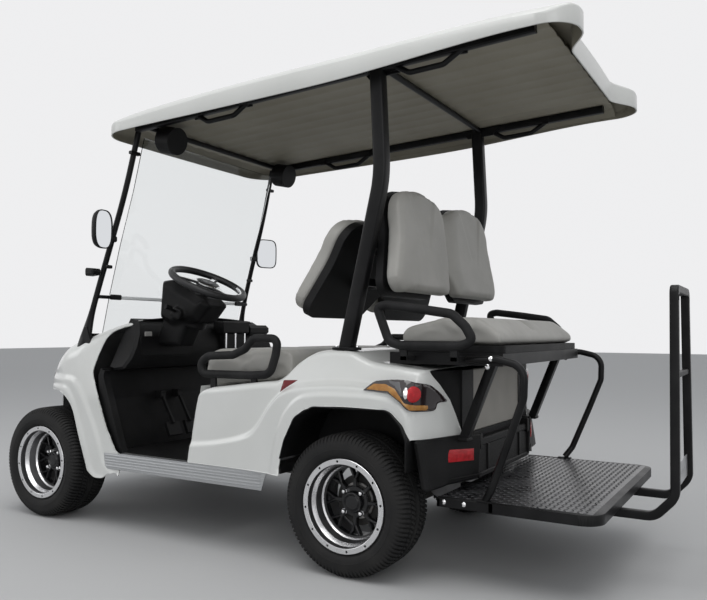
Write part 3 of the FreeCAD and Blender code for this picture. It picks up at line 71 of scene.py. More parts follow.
sky = bpy.data.worlds.new("studio sky")
bpy.context.scene.world = sky
sky.use_nodes = True
sky_nodes, sky_links = sky.node_tree.nodes, sky.node_tree.links
sky_light = sky_nodes["Background"]
sky_light.inputs["Strength"].default_value = 0.46
sky_light.inputs["Color"].default_value = (0.93, 0.96, 1.0, 1.0)
sky_seen = sky_nodes.new("ShaderNodeBackground")
sky_seen.inputs["Color"].default_value = wall_colour
sky_seen.inputs["Strength"].default_value = 1.0
ray_kind = sky_nodes.new("ShaderNodeLightPath")
pick_sky = sky_nodes.new("ShaderNodeMixShader")
seen_rays = ray_kind.outputs["Is Camera Ray"]
for kind in ("Is Glossy Ray", "Is Transmission Ray"):
    either = sky_nodes.new("ShaderNodeMath")
    either.operation = "MAXIMUM"
    sky_links.new(seen_rays, either.inputs[0])
    sky_links.new(ray_kind.outputs[kind], either.inputs[1])
    seen_rays = either.outputs["Value"]
sky_links.new(seen_rays, pick_sky.inputs["Fac"])
sky_links.new(sky_light.outputs["Background"], pick_sky.inputs[1])
sky_links.new(sky_seen.outputs["Background"], pick_sky.inputs[2])
sky_links.new(pick_sky.outputs["Shader"], sky_nodes["World Output"].inputs["Surface"])

# Lamps: place, aim point, size across and power.
for lamp_name, place, aim, across, power in (
        ("overhead", (1.5, 1.0, 6.0), (0.0, 0.0, 0.8), 6.0, 175.0),
        ("tail side", (6.0, 4.5, 3.2), (0.0, 0.2, 0.9), 3.5, 60.0),
        ("nose side", (3.5, -6.0, 3.0), (0.0, -0.6, 0.8), 3.0, 36.0)):
    lamp = bpy.data.lights.new(lamp_name, "AREA")
    lamp.shape = "DISK"
    lamp.size = across
    lamp.energy = power
    lamp_object = bpy.data.objects.new(lamp_name, lamp)
    lamp_object.location = place
    lamp_object.rotation_euler = (Vector(aim) - Vector(place)).to_track_quat("-Z", "Y").to_euler()
    bpy.context.scene.collection.objects.link(lamp_object)
bpy.context.scene.view_settings.view_transform = "Standard"

# The camera stands behind the cart's left rear corner at the height of the seats and looks along to the nose.
camera_place = Vector((2.84041, 1.85153, 0.87285))
camera_azimuth = math.radians(120.15)
camera_elevation = math.radians(-2.4)
camera_roll = math.radians(0.27)
focal_pixels = 726.2
image_w, image_h = 707.0, 600.0
centre_px = (366.25, 301.1)
backward = Vector((math.sin(camera_azimuth) * math.cos(camera_elevation),
                   -math.cos(camera_azimuth) * math.cos(camera_elevation), math.sin(camera_elevation)))
level = Vector((math.cos(camera_azimuth), math.sin(camera_azimuth), 0.0))
upward = backward.cross(level)
rightward = level * math.cos(camera_roll) + upward * math.sin(camera_roll)
upward = upward * math.cos(camera_roll) - level * math.sin(camera_roll)
camera_data = bpy.data.cameras.new("photo camera")
camera_data.sensor_width = 36.0
camera_data.lens = focal_pixels / image_w * 36.0
camera_data.shift_x = (image_w / 2 - centre_px[0]) / image_w
camera_data.shift_y = (centre_px[1] - image_h / 2) / image_w
camera = bpy.data.objects.new("photo camera", camera_data)
camera.matrix_world = Matrix((rightward, upward, backward)).transposed().to_4x4()
camera.location = camera_place
bpy.context.scene.collection.objects.link(camera)
bpy.context.scene.camera = camera

# Tyres: wide low-profile road tyres of vulcanised rubber on 12-inch rims. The shoulder carries close cross lugs,
# cut by two grooves round each side of the middle rib; each tyre is one moulding seated on its rim's beads.
axle_height = 0.254
half_track = 0.541
wheel_y = {"front": -1.195, "rear": 0.475}
wheel_corners = [(end, side) for end in ("front", "rear") for side in ("left", "right")]


def shader_of(finish):
    """The nodes, the links and the main shader of a finish."""
    tree = finish.node_tree
    return tree.nodes, tree.links, tree.nodes["Principled BSDF"]


def new_finish(name, colour, roughness, metallic=0.0, **others):
    """A finish; other sockets of its shader are given by name, with _ for a space."""
    finish = bpy.data.materials.new(name)
    finish.use_nodes = True
    shader = shader_of(finish)[2]
    shader.inputs["Base Color"].default_value = colour + (1.0,)
    shader.inputs["Roughness"].default_value = roughness
    shader.inputs["Metallic"].default_value = metallic
    for socket, value in others.items():
        shader.inputs[socket.replace("_", " ")].default_value = value
    return finish


def texture(finish, kind, scale, detail=3.0):
    """The output of a noise, cell or wave pattern laid in the piece's own space, in metres."""
    tree_nodes, tree_links, _ = shader_of(finish)
    pattern = tree_nodes.new("ShaderNodeTex" + kind)
    pattern.inputs["Scale"].default_value = scale
    if "Detail" in pattern.inputs:
        pattern.inputs["Detail"].default_value = detail
    place = tree_nodes.new("ShaderNodeTexCoord")
    tree_links.new(place.outputs["Object"], pattern.inputs["Vector"])
    return pattern.outputs["Distance" if kind == "Voronoi" else "Fac"]


def noise_or(finish, pattern):
    """A pattern as it is, or a noise where only its scale is given."""
    return texture(finish, "Noise", pattern) if isinstance(pattern, float) else pattern


def tint(finish, pattern, dark, light, low=0.3, high=0.7):
    """Vary the base colour between two tones where the pattern runs from low to high."""
    tree_nodes, tree_links, shader = shader_of(finish)
    ramp = tree_nodes.new("ShaderNodeValToRGB")
    ramp.color_ramp.elements[0].position = low
    ramp.color_ramp.elements[0].color = dark + (1.0,)
    ramp.color_ramp.elements[1].position = high
    ramp.color_ramp.elements[1].color = light + (1.0,)
    tree_links.new(noise_or(finish, pattern), ramp.inputs["Fac"])
    tree_links.new(ramp.outputs["Color"], shader.inputs["Base Color"])
    return ramp


def vary_gloss(finish, pattern, low, high):
    """Let the roughness run from low to high with the pattern."""
    tree_nodes, tree_links, shader = shader_of(finish)
    spread = tree_nodes.new("ShaderNodeMapRange")
    spread.inputs["To Min"].default_value = low
    spread.inputs["To Max"].default_value = high
    tree_links.new(noise_or(finish, pattern), spread.inputs["Value"])
    tree_links.new(spread.outputs["Result"], shader.inputs["Roughness"])


def relief(finish, pattern, depth, strength=0.5, under=None):
    """Raise the surface with a pattern by a depth in metres, on top of an earlier relief if there is one."""
    tree_nodes, tree_links, shader = shader_of(finish)
    bump = tree_nodes.new("ShaderNodeBump")
    bump.inputs["Distance"].default_value = depth
    bump.inputs["Strength"].default_value = strength
    tree_links.new(noise_or(finish, pattern), bump.inputs["Height"])
    if under is not None:
        tree_links.new(under.outputs["Normal"], bump.inputs["Normal"])
    tree_links.new(bump.outputs["Normal"], shader.inputs["Normal"])
    return bump


def placed(name, mesh):
    piece = bpy.data.objects.new(name, mesh)
    bpy.context.scene.collection.objects.link(piece)
    return piece


def mesh_of(name, points, faces, finishes=(), bands=None):
    """A mesh with its finishes, its faces turned outward."""
    mesh = bpy.data.meshes.new(name)
    mesh.from_pydata([tuple(p) for p in points], [], [tuple(f) for f in faces])
    for finish in finishes:
        mesh.materials.append(finish)
    if bands is not None:
        mesh.polygons.foreach_set("material_index", bands)
    tidy = bmesh.new()
    tidy.from_mesh(mesh)
    bmesh.ops.recalc_face_normals(tidy, faces=tidy.faces)
    tidy.to_mesh(mesh)
    tidy.free()
    return mesh


def new_piece(name, points, faces, finishes, bands=None, flat_above=35.0):
    """A mesh piece with its finishes, smooth up to an edge angle in degrees."""
    mesh = mesh_of(name, points, faces, finishes, bands)
    mesh.shade_smooth()
    mesh.set_sharp_from_angle(angle=math.radians(flat_above))
    return placed(name, mesh)


def break_edges(piece, width, segments, degrees):
    """Round the edges that are sharper than an angle."""
    edge = piece.modifiers.new("broken edge", "BEVEL")
    edge.width = width
    edge.segments = segments
    edge.limit_method = "ANGLE"
    edge.angle_limit = math.radians(degrees)
    return edge


def fit(piece, body, slot, *stands_for):
    """Fix a finished piece to its body and hide the CAD pieces it stands for; the slot is not used."""
    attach(piece, body)
    if stands_for:
        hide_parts(*stands_for)
    return piece


def made(name, part, finishes, slot, *stands_for, body="chassis", flat_above=35.0):
    """A piece from a part's points, faces and finish numbers, fixed to its body."""
    bands = part[2] if len(part) > 2 and not isinstance(part[2], int) else None
    return fit(new_piece(name, part[0], part[1], finishes, bands, flat_above), body, slot, *stands_for)


lug_count = 96
lug_columns = ((0.0, False), (0.56, False), (0.62, True), (0.94, True))
lug_depth = 0.0065
# Half outline of the tyre from its bead to the middle rib: offset from the wheel's middle, radius, share of the
# lug depth cut by the cross grooves, depth of a groove that runs all the way round; the last two only if not 0.
tyre_rows = (
    (0.080, 0.1536), (0.0835, 0.1550), (0.0838, 0.1670), (0.0880, 0.1715), (0.0915, 0.1740), (0.0935, 0.1762),
    (0.0955, 0.1778), (0.0975, 0.1810), (0.0998, 0.1860), (0.1012, 0.1920), (0.1018, 0.1975), (0.1025, 0.1985),
    (0.1025, 0.2005), (0.1016, 0.2015), (0.1012, 0.2080), (0.1002, 0.2150), (0.0990, 0.2205),
    (0.0986, 0.2225, 0.15, 0.0), (0.0972, 0.2290, 0.55, 0.0), (0.0948, 0.2355, 0.8, 0.0),
    (0.0912, 0.2415, 0.95, 0.0), (0.0862, 0.2465, 1.0, 0.0), (0.0800, 0.2500, 1.0, 0.0),
    (0.0700, 0.2522, 1.0, 0.0), (0.0580, 0.2530, 1.0, 0.0), (0.0545, 0.2532, 1.0, 0.0),
    (0.0535, 0.2532, 1.0, 0.006), (0.0480, 0.2533, 1.0, 0.006), (0.0470, 0.2534, 1.0, 0.0),
    (0.0330, 0.2537, 0.9, 0.0), (0.0190, 0.2539, 0.8, 0.0), (0.0180, 0.2539, 0.8, 0.006),
    (0.0125, 0.2539, 0.8, 0.006), (0.0115, 0.2540), (0.0, 0.2540),
)


def cross_lug_lead(offset):
    """How far round, in lugs, a cross groove leads at an offset: straight on the shoulder, swept in the middle."""
    inward = max(0.0, 1.0 - abs(offset) / 0.088)
    return (1.6 * inward * inward + 0.5 * inward) * (1 if offset > 0 else -1)


def tyre_mesh():
    rows = [(row + (0.0, 0.0))[:4] for row in tyre_rows]
    rows += [(-x, r, cut, ring) for x, r, cut, ring in reversed(rows[:-1])]
    columns = [(lug + share, low) for lug in range(lug_count) for share, low in lug_columns]
    points, faces = [], []
    for turn, low in columns:
        for offset, radius, cut, ring in rows:
            depth = max(ring, lug_depth * cut if low else 0.0)
            angle = 2 * math.pi * (turn + cross_lug_lead(offset)) / lug_count
            reach = radius - depth
            points.append((offset, reach * math.sin(angle), reach * math.cos(angle)))
    width = len(rows)
    for c in range(len(columns)):
        here, after = c * width, ((c + 1) % len(columns)) * width
        for r in range(width - 1):
            faces.append((here + r, here + r + 1, after + r + 1, after + r))
    return points, faces


rubber = new_finish("tyre rubber", (0.016, 0.016, 0.0165), 0.78, Specular_IOR_Level=0.25)
rubber_dust = texture(rubber, "Noise", 9.0)
tint(rubber, rubber_dust, (0.012, 0.012, 0.0125), (0.028, 0.027, 0.026), 0.35, 0.75)
vary_gloss(rubber, rubber_dust, 0.62, 0.85)
relief(rubber, 900.0, 0.0006, 0.5)

tyre_points, tyre_faces = tyre_mesh()
wheel_centres = {}
for end, side in wheel_corners:
    corner = end + "_" + side
    left = 1 if side == "left" else -1
    tyre = new_piece("tyre_tread_" + corner, tyre_points, tyre_faces, [rubber], flat_above=28.0)
    tyre.location = (left * half_track, wheel_y[end], axle_height)
    tyre.rotation_euler = (0.0, 0.0, 0.0 if left > 0 else math.pi)
    wheel_centres[corner] = (tyre.location.copy(), tyre.rotation_euler.copy())
    fit(tyre, "wheel_" + corner, "tyre", "tyre_" + corner)

# Rims: cast aluminium. A turned outer ring with twelve black screws, a stepped barrel, and a deep-set gloss-black
# centre of eight forked spokes bolted to the hub by four plated nuts under a plain black cap.
hub_face = 0.548 - half_track
ring_face = 0.095


def turned(outline, steps):
    """Spin an outline of (offset along the axle, radius, finish of the band to the next point) round the axle."""
    points, faces, bands = [], [], []
    width = len(outline)
    for s in range(steps):
        angle = 2 * math.pi * s / steps
        for offset, radius, _ in outline:
            points.append((offset, radius * math.sin(angle), radius * math.cos(angle)))
    for s in range(steps):
        here, after = s * width, ((s + 1) % steps) * width
        for r in range(width - 1):
            if outline[r][1] < 1e-6 and outline[r + 1][1] < 1e-6:
                continue
            faces.append((here + r, here + r + 1, after + r + 1, after + r))
            bands.append(outline[r][2])
    return points, faces, bands


def walls(layers, count, closed=False):
    """Faces that join rings of points laid one after the other, and the last to the first where it is closed."""
    faces = []
    for layer in range(layers if closed else layers - 1):
        here, after = layer * count, (layer + 1) % layers * count
        faces += [(here + k, here + (k + 1) % count, after + (k + 1) % count, after + k) for k in range(count)]
    return faces


def solid_of(outline, rings, axis):
    """Points and faces of a flat outline made solid: each ring is a place along the axis and an inset."""
    count = len(outline)
    mid = Vector((sum(p[0] for p in outline) / count, sum(p[1] for p in outline) / count))
    place = {"x": lambda u, v, w: (w, u, v), "y": lambda u, v, w: (u, w, v), "z": lambda u, v, w: (u, v, w)}[axis]
    points, faces = [], walls(len(rings), count)
    for at, inset in rings:
        for i, (u, v) in enumerate(outline):
            before, after = outline[i - 1], outline[(i + 1) % count]
            inward = Vector((before[1] - after[1], after[0] - before[0]))
            if inward.length > 1e-9:
                inward.normalize()
            if inward.dot(mid - Vector((u, v))) < 0:
                inward = -inward
            points.append(place(u + inward.x * inset, v + inward.y * inset, at))
    faces.append(tuple(range(count - 1, -1, -1)))
    faces.append(tuple(range((len(rings) - 1) * count, len(rings) * count)))
    return points, faces


def circle(radius, steps=16, mid=(0.0, 0.0), tall=None):
    """A round outline, or an oval one where it is as tall as a second radius."""
    angles = [2 * math.pi * i / steps for i in range(steps)]
    return [(mid[0] + radius * math.cos(a), mid[1] + (tall or radius) * math.sin(a)) for a in angles]


def prism(outline, near, far, chamfer=0.0):
    """A solid of (u, v) between two offsets along the axle, its far edge chamfered."""
    rings = [(near, 0.0), (far - chamfer, 0.0)] + ([(far, chamfer)] if chamfer > 0 else [])
    return solid_of(outline, rings, "x")


def add_to(whole, part, band=0, turn=0.0, shift=(0.0, 0.0, 0.0)):
    """Add a part's points and faces to a whole, turned round the axle and shifted."""
    points, faces = part[0], part[1]
    bands = part[2] if len(part) > 2 else [band] * len(faces)
    start = len(whole[0])
    c, s = math.cos(turn), math.sin(turn)
    for x, y, z in points:
        whole[0].append((x + shift[0], y * c - z * s + shift[1], y * s + z * c + shift[2]))
    whole[1].extend(tuple(start + i for i in face) for face in faces)
    whole[2].extend(bands)


barrel = turned([
    (0.0830, 0.1530, 1), (0.0832, 0.1668, 0), (0.0850, 0.1670, 0), (0.0938, 0.1670, 0), (0.0950, 0.1658, 0),
    (0.0950, 0.1482, 0), (0.0944, 0.1472, 0), (0.0925, 0.1468, 2), (0.0700, 0.1462, 0), (0.0690, 0.1455, 0),
    (0.0560, 0.1372, 0), (0.0548, 0.1366, 2), (0.0220, 0.1340, 0), (0.0212, 0.1335, 0), (0.0170, 0.1285, 0),
    (0.0150, 0.1275, 2), (0.0120, 0.1272, 2), (0.0050, 0.1300, 2), (-0.0820, 0.1300, 2), (-0.0950, 0.1370, 1),
    (-0.0950, 0.1670, 1), (-0.0832, 0.1670, 1), (-0.0830, 0.1530, 1), (0.0830, 0.1530, 1),
], 144)

machined = new_finish("turned aluminium", (0.78, 0.78, 0.79), 0.22, 1.0)
machined_rings = texture(machined, "Wave", 180.0, 1.0)
machined_rings.node.wave_type = "RINGS"
machined_rings.node.rings_direction = "X"
machined_rings.node.inputs["Distortion"].default_value = 0.3
vary_gloss(machined, 14.0, 0.16, 0.36)
relief(machined, machined_rings, 0.00012, 0.25)

barrel_back = new_finish("painted barrel", (0.10, 0.10, 0.105), 0.45, 0.6)
tint(barrel_back, 60.0, (0.075, 0.075, 0.08), (0.13, 0.13, 0.135))
# Painted reflection: the rim's stepped walls and inner barrel are the same aluminium as its turned faces. Their darker
# satin grey stands for the darker reflection they show.
rim_wall_shade_paint = new_finish("rim wall painted reflection", (0.20, 0.20, 0.205), 0.28, 0.9)
vary_gloss(rim_wall_shade_paint, 25.0, 0.2, 0.42)

gloss_black = new_finish("gloss black casting", (0.008, 0.008, 0.009), 0.2)
vary_gloss(gloss_black, 22.0, 0.14, 0.34)
relief(gloss_black, 420.0, 0.0003, 0.2)

spoke_forks = 8
spoke_thick = 0.022
hub_r = 0.058
left_prong = [(-0.0064, 0.084), (0.0, 0.088), (-0.0035, 0.0995), (-0.0190, 0.1290), (-0.0280, 0.1270)]
right_prong = [(-u, v) for u, v in reversed(left_prong)]
stem = [(-0.0085, 0.046), (0.0085, 0.046), (0.0066, 0.084), (0.0, 0.089), (-0.0066, 0.084)]
centre_mesh = ([], [], [])
add_to(centre_mesh, turned([
    (hub_face - spoke_thick, 0.0, 0), (hub_face - spoke_thick, hub_r, 0), (hub_face - 0.002, hub_r, 0),
    (hub_face + 0.002, 0.054, 0), (hub_face + 0.003, 0.044, 0), (hub_face + 0.003, 0.0, 0)], 64))
for fork in range(spoke_forks):
    turn = 2 * math.pi * fork / spoke_forks
    for shape in (stem, left_prong, right_prong):
        add_to(centre_mesh, prism(shape, hub_face - spoke_thick + 0.002, hub_face + 0.001, 0.0022), turn=turn)
add_to(centre_mesh, turned([
    (0.0120, 0.1282, 0), (0.0100, 0.1222, 0), (0.0020, 0.1215, 0), (-0.0180, 0.1240, 0), (-0.0200, 0.1290, 0)], 96))

fixings = ([], [], [])
screw_place = (0.0, 0.1574)
screw_count = 12
for screw in range(screw_count):
    turn = 2 * math.pi * (screw + 0.25) / screw_count
    add_to(fixings, prism(circle(0.0046, 6, screw_place), ring_face - 0.001, ring_face), 1, turn)
    add_to(fixings, prism(circle(0.0034, 10, screw_place), ring_face - 0.004, ring_face - 0.0002, 0.001), 1, turn)
nut_circle = 0.0508
for nut in range(4):
    turn = math.pi / 4 + math.pi / 2 * nut
    add_to(fixings, prism(circle(0.0105, 6, (0.0, nut_circle)), hub_face + 0.002, hub_face + 0.0145, 0.002), 0, turn)
    dome = turned([(hub_face + 0.0140, 0.0088, 0), (hub_face + 0.0190, 0.0082, 0), (hub_face + 0.0232, 0.0060, 0),
                   (hub_face + 0.0248, 0.0030, 0), (hub_face + 0.0252, 0.0, 0)], 16)
    add_to(fixings, dome, 0, 0.0, (0.0, -nut_circle * math.sin(turn), nut_circle * math.cos(turn)))
add_to(fixings, turned([
    (hub_face + 0.002, 0.0400, 1), (hub_face + 0.014, 0.0385, 1), (hub_face + 0.019, 0.0350, 1),
    (hub_face + 0.020, 0.0315, 1), (hub_face + 0.0175, 0.0295, 1), (hub_face + 0.0175, 0.0280, 1),
    (hub_face + 0.0215, 0.0240, 1), (hub_face + 0.0228, 0.0120, 1), (hub_face + 0.0230, 0.0, 1)], 48))

chrome = new_finish("bright plating", (0.86, 0.86, 0.87), 0.08, 1.0)
vary_gloss(chrome, 40.0, 0.05, 0.18)

for end, side in wheel_corners:
    corner = end + "_" + side
    for kind, part, finishes in (("ring", barrel, [machined, barrel_back, rim_wall_shade_paint]),
                                 ("centre", centre_mesh, [gloss_black]),
                                 ("fixings", fixings, [chrome, gloss_black])):
        piece = new_piece("rim_" + kind + "_" + corner, *part[:2], finishes, part[2], 30.0)
        piece.location, piece.rotation_euler = wheel_centres[corner]
        fit(piece, "wheel_" + corner, "rim")
        if kind == "ring":
            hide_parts("rim_" + corner)

# Running gear: a welded box-tube ladder frame, leaf springs, a beam front axle with forged knuckles and a tie rod,
# and a rear axle with its motor. Welded steel, painted satin black at the works and dusty from the road.
chassis_black = new_finish("chassis black", (0.016, 0.016, 0.017), 0.5)
chassis_dust = texture(chassis_black, "Noise", 7.0, 6.0)
tint(chassis_black, chassis_dust, (0.012, 0.012, 0.013), (0.060, 0.056, 0.050), 0.45, 0.8)
vary_gloss(chassis_black, chassis_dust, 0.36, 0.75)
relief(chassis_black, 260.0, 0.0006, 0.35)

worked_steel = new_finish("worked steel", (0.30, 0.29, 0.28), 0.42, 0.9)
steel_stain = texture(worked_steel, "Noise", 18.0, 6.0)
tint(worked_steel, steel_stain, (0.12, 0.085, 0.06), (0.40, 0.39, 0.38), 0.3, 0.55)
vary_gloss(worked_steel, steel_stain, 0.65, 0.3)
relief(worked_steel, 350.0, 0.0005, 0.3)

motor_alloy = new_finish("cast motor case", (0.42, 0.42, 0.43), 0.5, 0.85)
tint(motor_alloy, texture(motor_alloy, "Noise", 11.0, 6.0), (0.16, 0.155, 0.15), (0.45, 0.45, 0.46), 0.3, 0.6)
relief(motor_alloy, 240.0, 0.0012, 0.5)


def dress(node, finish, bevel=0.0012):
    """Give a carried-over CAD piece its finish and break its sharp edges."""
    piece = nodes[node]
    if not piece.data.materials:
        piece.data.materials.append(finish)
    for place in range(len(piece.data.materials)):
        piece.data.materials[place] = finish
    if bevel > 0:
        weld = piece.modifiers.new("join", "WELD")
        weld.merge_threshold = 0.00002
        break_edges(piece, bevel, 2, 35).harden_normals = False
        even = piece.modifiers.new("even shading", "WEIGHTED_NORMAL")
        even.keep_sharp = False
    return piece


for node in ("chassis_frame", "front_axle_beam", "rear_axle_housing"):
    dress(node, chassis_black)
for node in ("knuckle_left", "knuckle_right", "tie_rod", "leaf_springs", "rear_hub_left", "rear_hub_right"):
    dress(node, worked_steel)
dress("drive_motor", motor_alloy)

battery_case = new_finish("battery case", (0.05, 0.052, 0.056), 0.42)
relief(battery_case, 300.0, 0.0006, 0.4)
vary_gloss(battery_case, 12.0, 0.35, 0.6)
dress("battery_pack", battery_case, 0.004)

# Body shells: thin plastic mouldings in pearl white, clear-coated. The front one makes hood, fenders and door
# fronts, the rear one the seat base, skirts and rear fenders; both are bolted to the frame from inside.
pearl = new_finish("pearl white", (0.765, 0.77, 0.745), 0.30, Coat_Weight=0.7, Coat_Roughness=0.05)
tint(pearl, texture(pearl, "Noise", 3.0, 5.0), (0.72, 0.727, 0.70), (0.785, 0.79, 0.768), 0.3, 0.7)
relief(pearl, 160.0, 0.00025, 0.2)
vary_gloss(pearl, 26.0, 0.24, 0.38)

black_plastic = new_finish("black moulded plastic", (0.009, 0.009, 0.0095), 0.45, Specular_IOR_Level=0.17)
relief(black_plastic, texture(black_plastic, "Voronoi", 900.0), 0.0006, 0.4)
black_rub = texture(black_plastic, "Noise", 8.0, 5.0)
tint(black_plastic, black_rub, (0.005, 0.005, 0.0053), (0.013, 0.013, 0.0135), 0.4, 0.75)
vary_gloss(black_plastic, black_rub, 0.38, 0.6)


def through(stations, at):
    """Row of values at a place along smooth curves through the stations, whose first column is the place."""
    last = len(stations) - 1
    if at <= stations[0][0]:
        return list(stations[0][1:])
    if at >= stations[last][0]:
        return list(stations[last][1:])
    k = next(i for i in range(last) if at <= stations[i + 1][0])
    a, b = stations[k], stations[k + 1]
    span = b[0] - a[0]
    t = (at - a[0]) / span
    before, after = stations[max(k - 1, 0)], stations[min(k + 2, last)]
    values = []
    for c in range(1, len(a)):
        slope = (b[c] - a[c]) / span
        left = slope if k == 0 else (b[c] - before[c]) / (b[0] - before[0])
        right = slope if k + 1 == last else (after[c] - a[c]) / (after[0] - a[0])
        if left * slope <= 0:
            left = 0.0
        if right * slope <= 0:
            right = 0.0
        left = max(-abs(slope) * 3, min(abs(slope) * 3, left))
        right = max(-abs(slope) * 3, min(abs(slope) * 3, right))
        h = t * t * (3 - 2 * t)
        values.append(a[c] + (b[c] - a[c]) * h + span * (left * t * (1 - t) ** 2 - right * t * t * (1 - t)))
    return values


def nearest_on(line, y, z):
    """Distance from a place to a line of (y, z) points, the nearest point, and the side: positive to the right."""
    best = None
    for (ay, az), (by, bz) in zip(line, line[1:]):
        dy, dz = by - ay, bz - az
        t = max(0.0, min(1.0, ((y - ay) * dy + (z - az) * dz) / (dy * dy + dz * dz)))
        py, pz = ay + t * dy, az + t * dz
        gap = math.hypot(y - py, z - pz)
        if best is None or gap < best[0] - 1e-9:
            best = (gap, py, pz, 1 if dy * (z - pz) - dz * (y - py) < 0 else -1)
    return best


def holds(outline, y, z):
    """True where a place lies inside a closed outline of (y, z) points."""
    inside = False
    for (ay, az), (by, bz) in zip(outline, outline[1:] + outline[:1]):
        if (az > z) != (bz > z) and y < ay + (z - az) / (bz - az) * (by - ay):
            inside = not inside
    return inside


def soft_step(value, low, high):
    """Ease from 0 at low to 1 at high."""
    share = min(1.0, max(0.0, (value - low) / (high - low)))
    return share * share * (3 - 2 * share)


def eased(points, radius=0.05, steps=5):
    """An open line of (y, z) points with its corners rounded."""
    line = [Vector(points[0])]
    for i in range(1, len(points) - 1):
        here = Vector(points[i])
        to_last, to_next = Vector(points[i - 1]) - here, Vector(points[i + 1]) - here
        back = min(radius, to_last.length * 0.48, to_next.length * 0.48)
        start, end = here + to_last.normalized() * back, here + to_next.normalized() * back
        for step in range(steps + 1):
            t = step / steps
            line.append(start * (1 - t) ** 2 + here * 2 * t * (1 - t) + end * t * t)
    line.append(Vector(points[-1]))
    return [(p.x, p.y) for p in line]


def moulding(name, columns, low_z, side_x, top_z, round_r, top_point, cuts, finishes, wall, paint=None,
             side_rows=64, round_rows=8, top_rows=14, top_ends_y=9.0):
    """Left half of a shell as a grid: rows climb the side, go round the shoulder and cross the top to the middle.

    Openings are cut through the side only; points beside a cut are slid onto its outline."""
    grid = []
    for y in columns:
        z_top, r = top_z(y), round_r(y)
        row = []
        for k in range(side_rows):
            row.append(("side", low_z + (z_top - r - low_z) * k / side_rows))
        for k in range(round_rows + 1):
            row.append(("side", z_top - r + r * math.sin(math.pi / 2 * k / round_rows)))
        for k in range(1, top_rows + 1):
            row.append(("top", k / top_rows))
        grid.append(row)
    count = len(grid[0])
    place, gone = [], []
    for c, y in enumerate(columns):
        for kind, v in grid[c]:
            place.append([y, v, kind])
            gone.append(kind == "side" and any(holds(cut, y, v) for cut in cuts))
    outlines = [cut + cut[:1] for cut in cuts]
    kept = set()
    for c in range(len(columns)):
        for k in range(count):
            here = c * count + k
            if gone[here]:
                for dc, dk in ((1, 0), (-1, 0), (0, 1), (0, -1), (1, 1), (1, -1), (-1, 1), (-1, -1)):
                    if 0 <= c + dc < len(columns) and 0 <= k + dk < count and not gone[(c + dc) * count + k + dk]:
                        kept.add(here)
    for here in kept:
        y, z, _ = place[here]
        best = min((nearest_on(line, y, z) for line in outlines), key=lambda found: found[0])
        place[here][0], place[here][1] = best[1], best[2]
    points = []
    for y, v, kind in place:
        if kind == "side":
            points.append((side_x(y, v), y, v))
        else:
            x, z = top_point(y, v)
            points.append((x, y, z))
    faces, bands = [], []
    for c in range(len(columns) - 1):
        for k in range(count - 1):
            corners = [c * count + k, c * count + k + 1, (c + 1) * count + k + 1, (c + 1) * count + k]
            if place[corners[1]][2] == "top" and columns[c] > top_ends_y - 1e-4:
                continue
            dropped = [i for i in corners if gone[i] and i not in kept]
            whole = [i for i in corners if not gone[i]]
            if dropped or not whole:
                if len(dropped) == 1 and len(whole) >= 1:
                    faces.append(tuple(i for i in corners if i not in dropped))
                    bands.append(0)
                continue
            faces.append(tuple(corners))
            bands.append(paint(columns[c], place[corners[1]][2], place[corners[1]][1]) if paint else 0)
    size = len(points)
    mirrored = [(-x, y, z) for x, y, z in points]
    all_faces = faces + [tuple(size + i for i in reversed(face)) for face in faces]
    piece = new_piece(name, points + mirrored, all_faces, finishes, bands + bands, 180.0)
    tidy = bmesh.new()
    tidy.from_mesh(piece.data)
    bmesh.ops.remove_doubles(tidy, verts=tidy.verts, dist=0.0004)
    loose = [v for v in tidy.verts if not v.link_faces]
    bmesh.ops.delete(tidy, geom=loose, context="VERTS")
    bmesh.ops.recalc_face_normals(tidy, faces=tidy.faces)
    if sum(f.normal.z * f.calc_area() for f in tidy.faces) < 0:
        bmesh.ops.reverse_faces(tidy, faces=tidy.faces)
    tidy.to_mesh(piece.data)
    tidy.free()
    piece.data.shade_smooth()
    thick = piece.modifiers.new("wall", "SOLIDIFY")
    thick.thickness = wall
    thick.offset = -1.0
    thick.use_even_offset = False
    thick.material_offset = 1
    break_edges(piece, 0.0012, 2, 50)
    return piece


def spread(marks, step):
    """Places from the first mark to the last, through every mark, no more than a step apart."""
    places = [marks[0]]
    for low, high in zip(marks, marks[1:]):
        count = max(1, math.ceil((high - low) / step - 1e-6))
        places += [low + (high - low) * (i + 1) / count for i in range(count)]
    return places


# Hood and front fenders. Columns: place along the cart, half width, height of the shoulder, rise of the crown,
# shoulder radius.
front_axle = wheel_y["front"]
cowl_stations = (
    (-1.530, 0.150, 0.520, 0.010, 0.070), (-1.522, 0.190, 0.560, 0.014, 0.070), (-1.480, 0.285, 0.612, 0.018, 0.080),
    (-1.385, 0.402, 0.674, 0.024, 0.090), (-1.255, 0.518, 0.742, 0.030, 0.095), (-1.115, 0.590, 0.806, 0.034, 0.090),
    (-1.010, 0.604, 0.836, 0.036, 0.085), (-0.935, 0.6065, 0.866, 0.036, 0.075), (-0.860, 0.6065, 0.900, 0.030, 0.055),
    (-0.790, 0.6065, 0.924, 0.020, 0.040), (-0.694, 0.6065, 0.936, 0.014, 0.040))
cowl_foot = 0.213
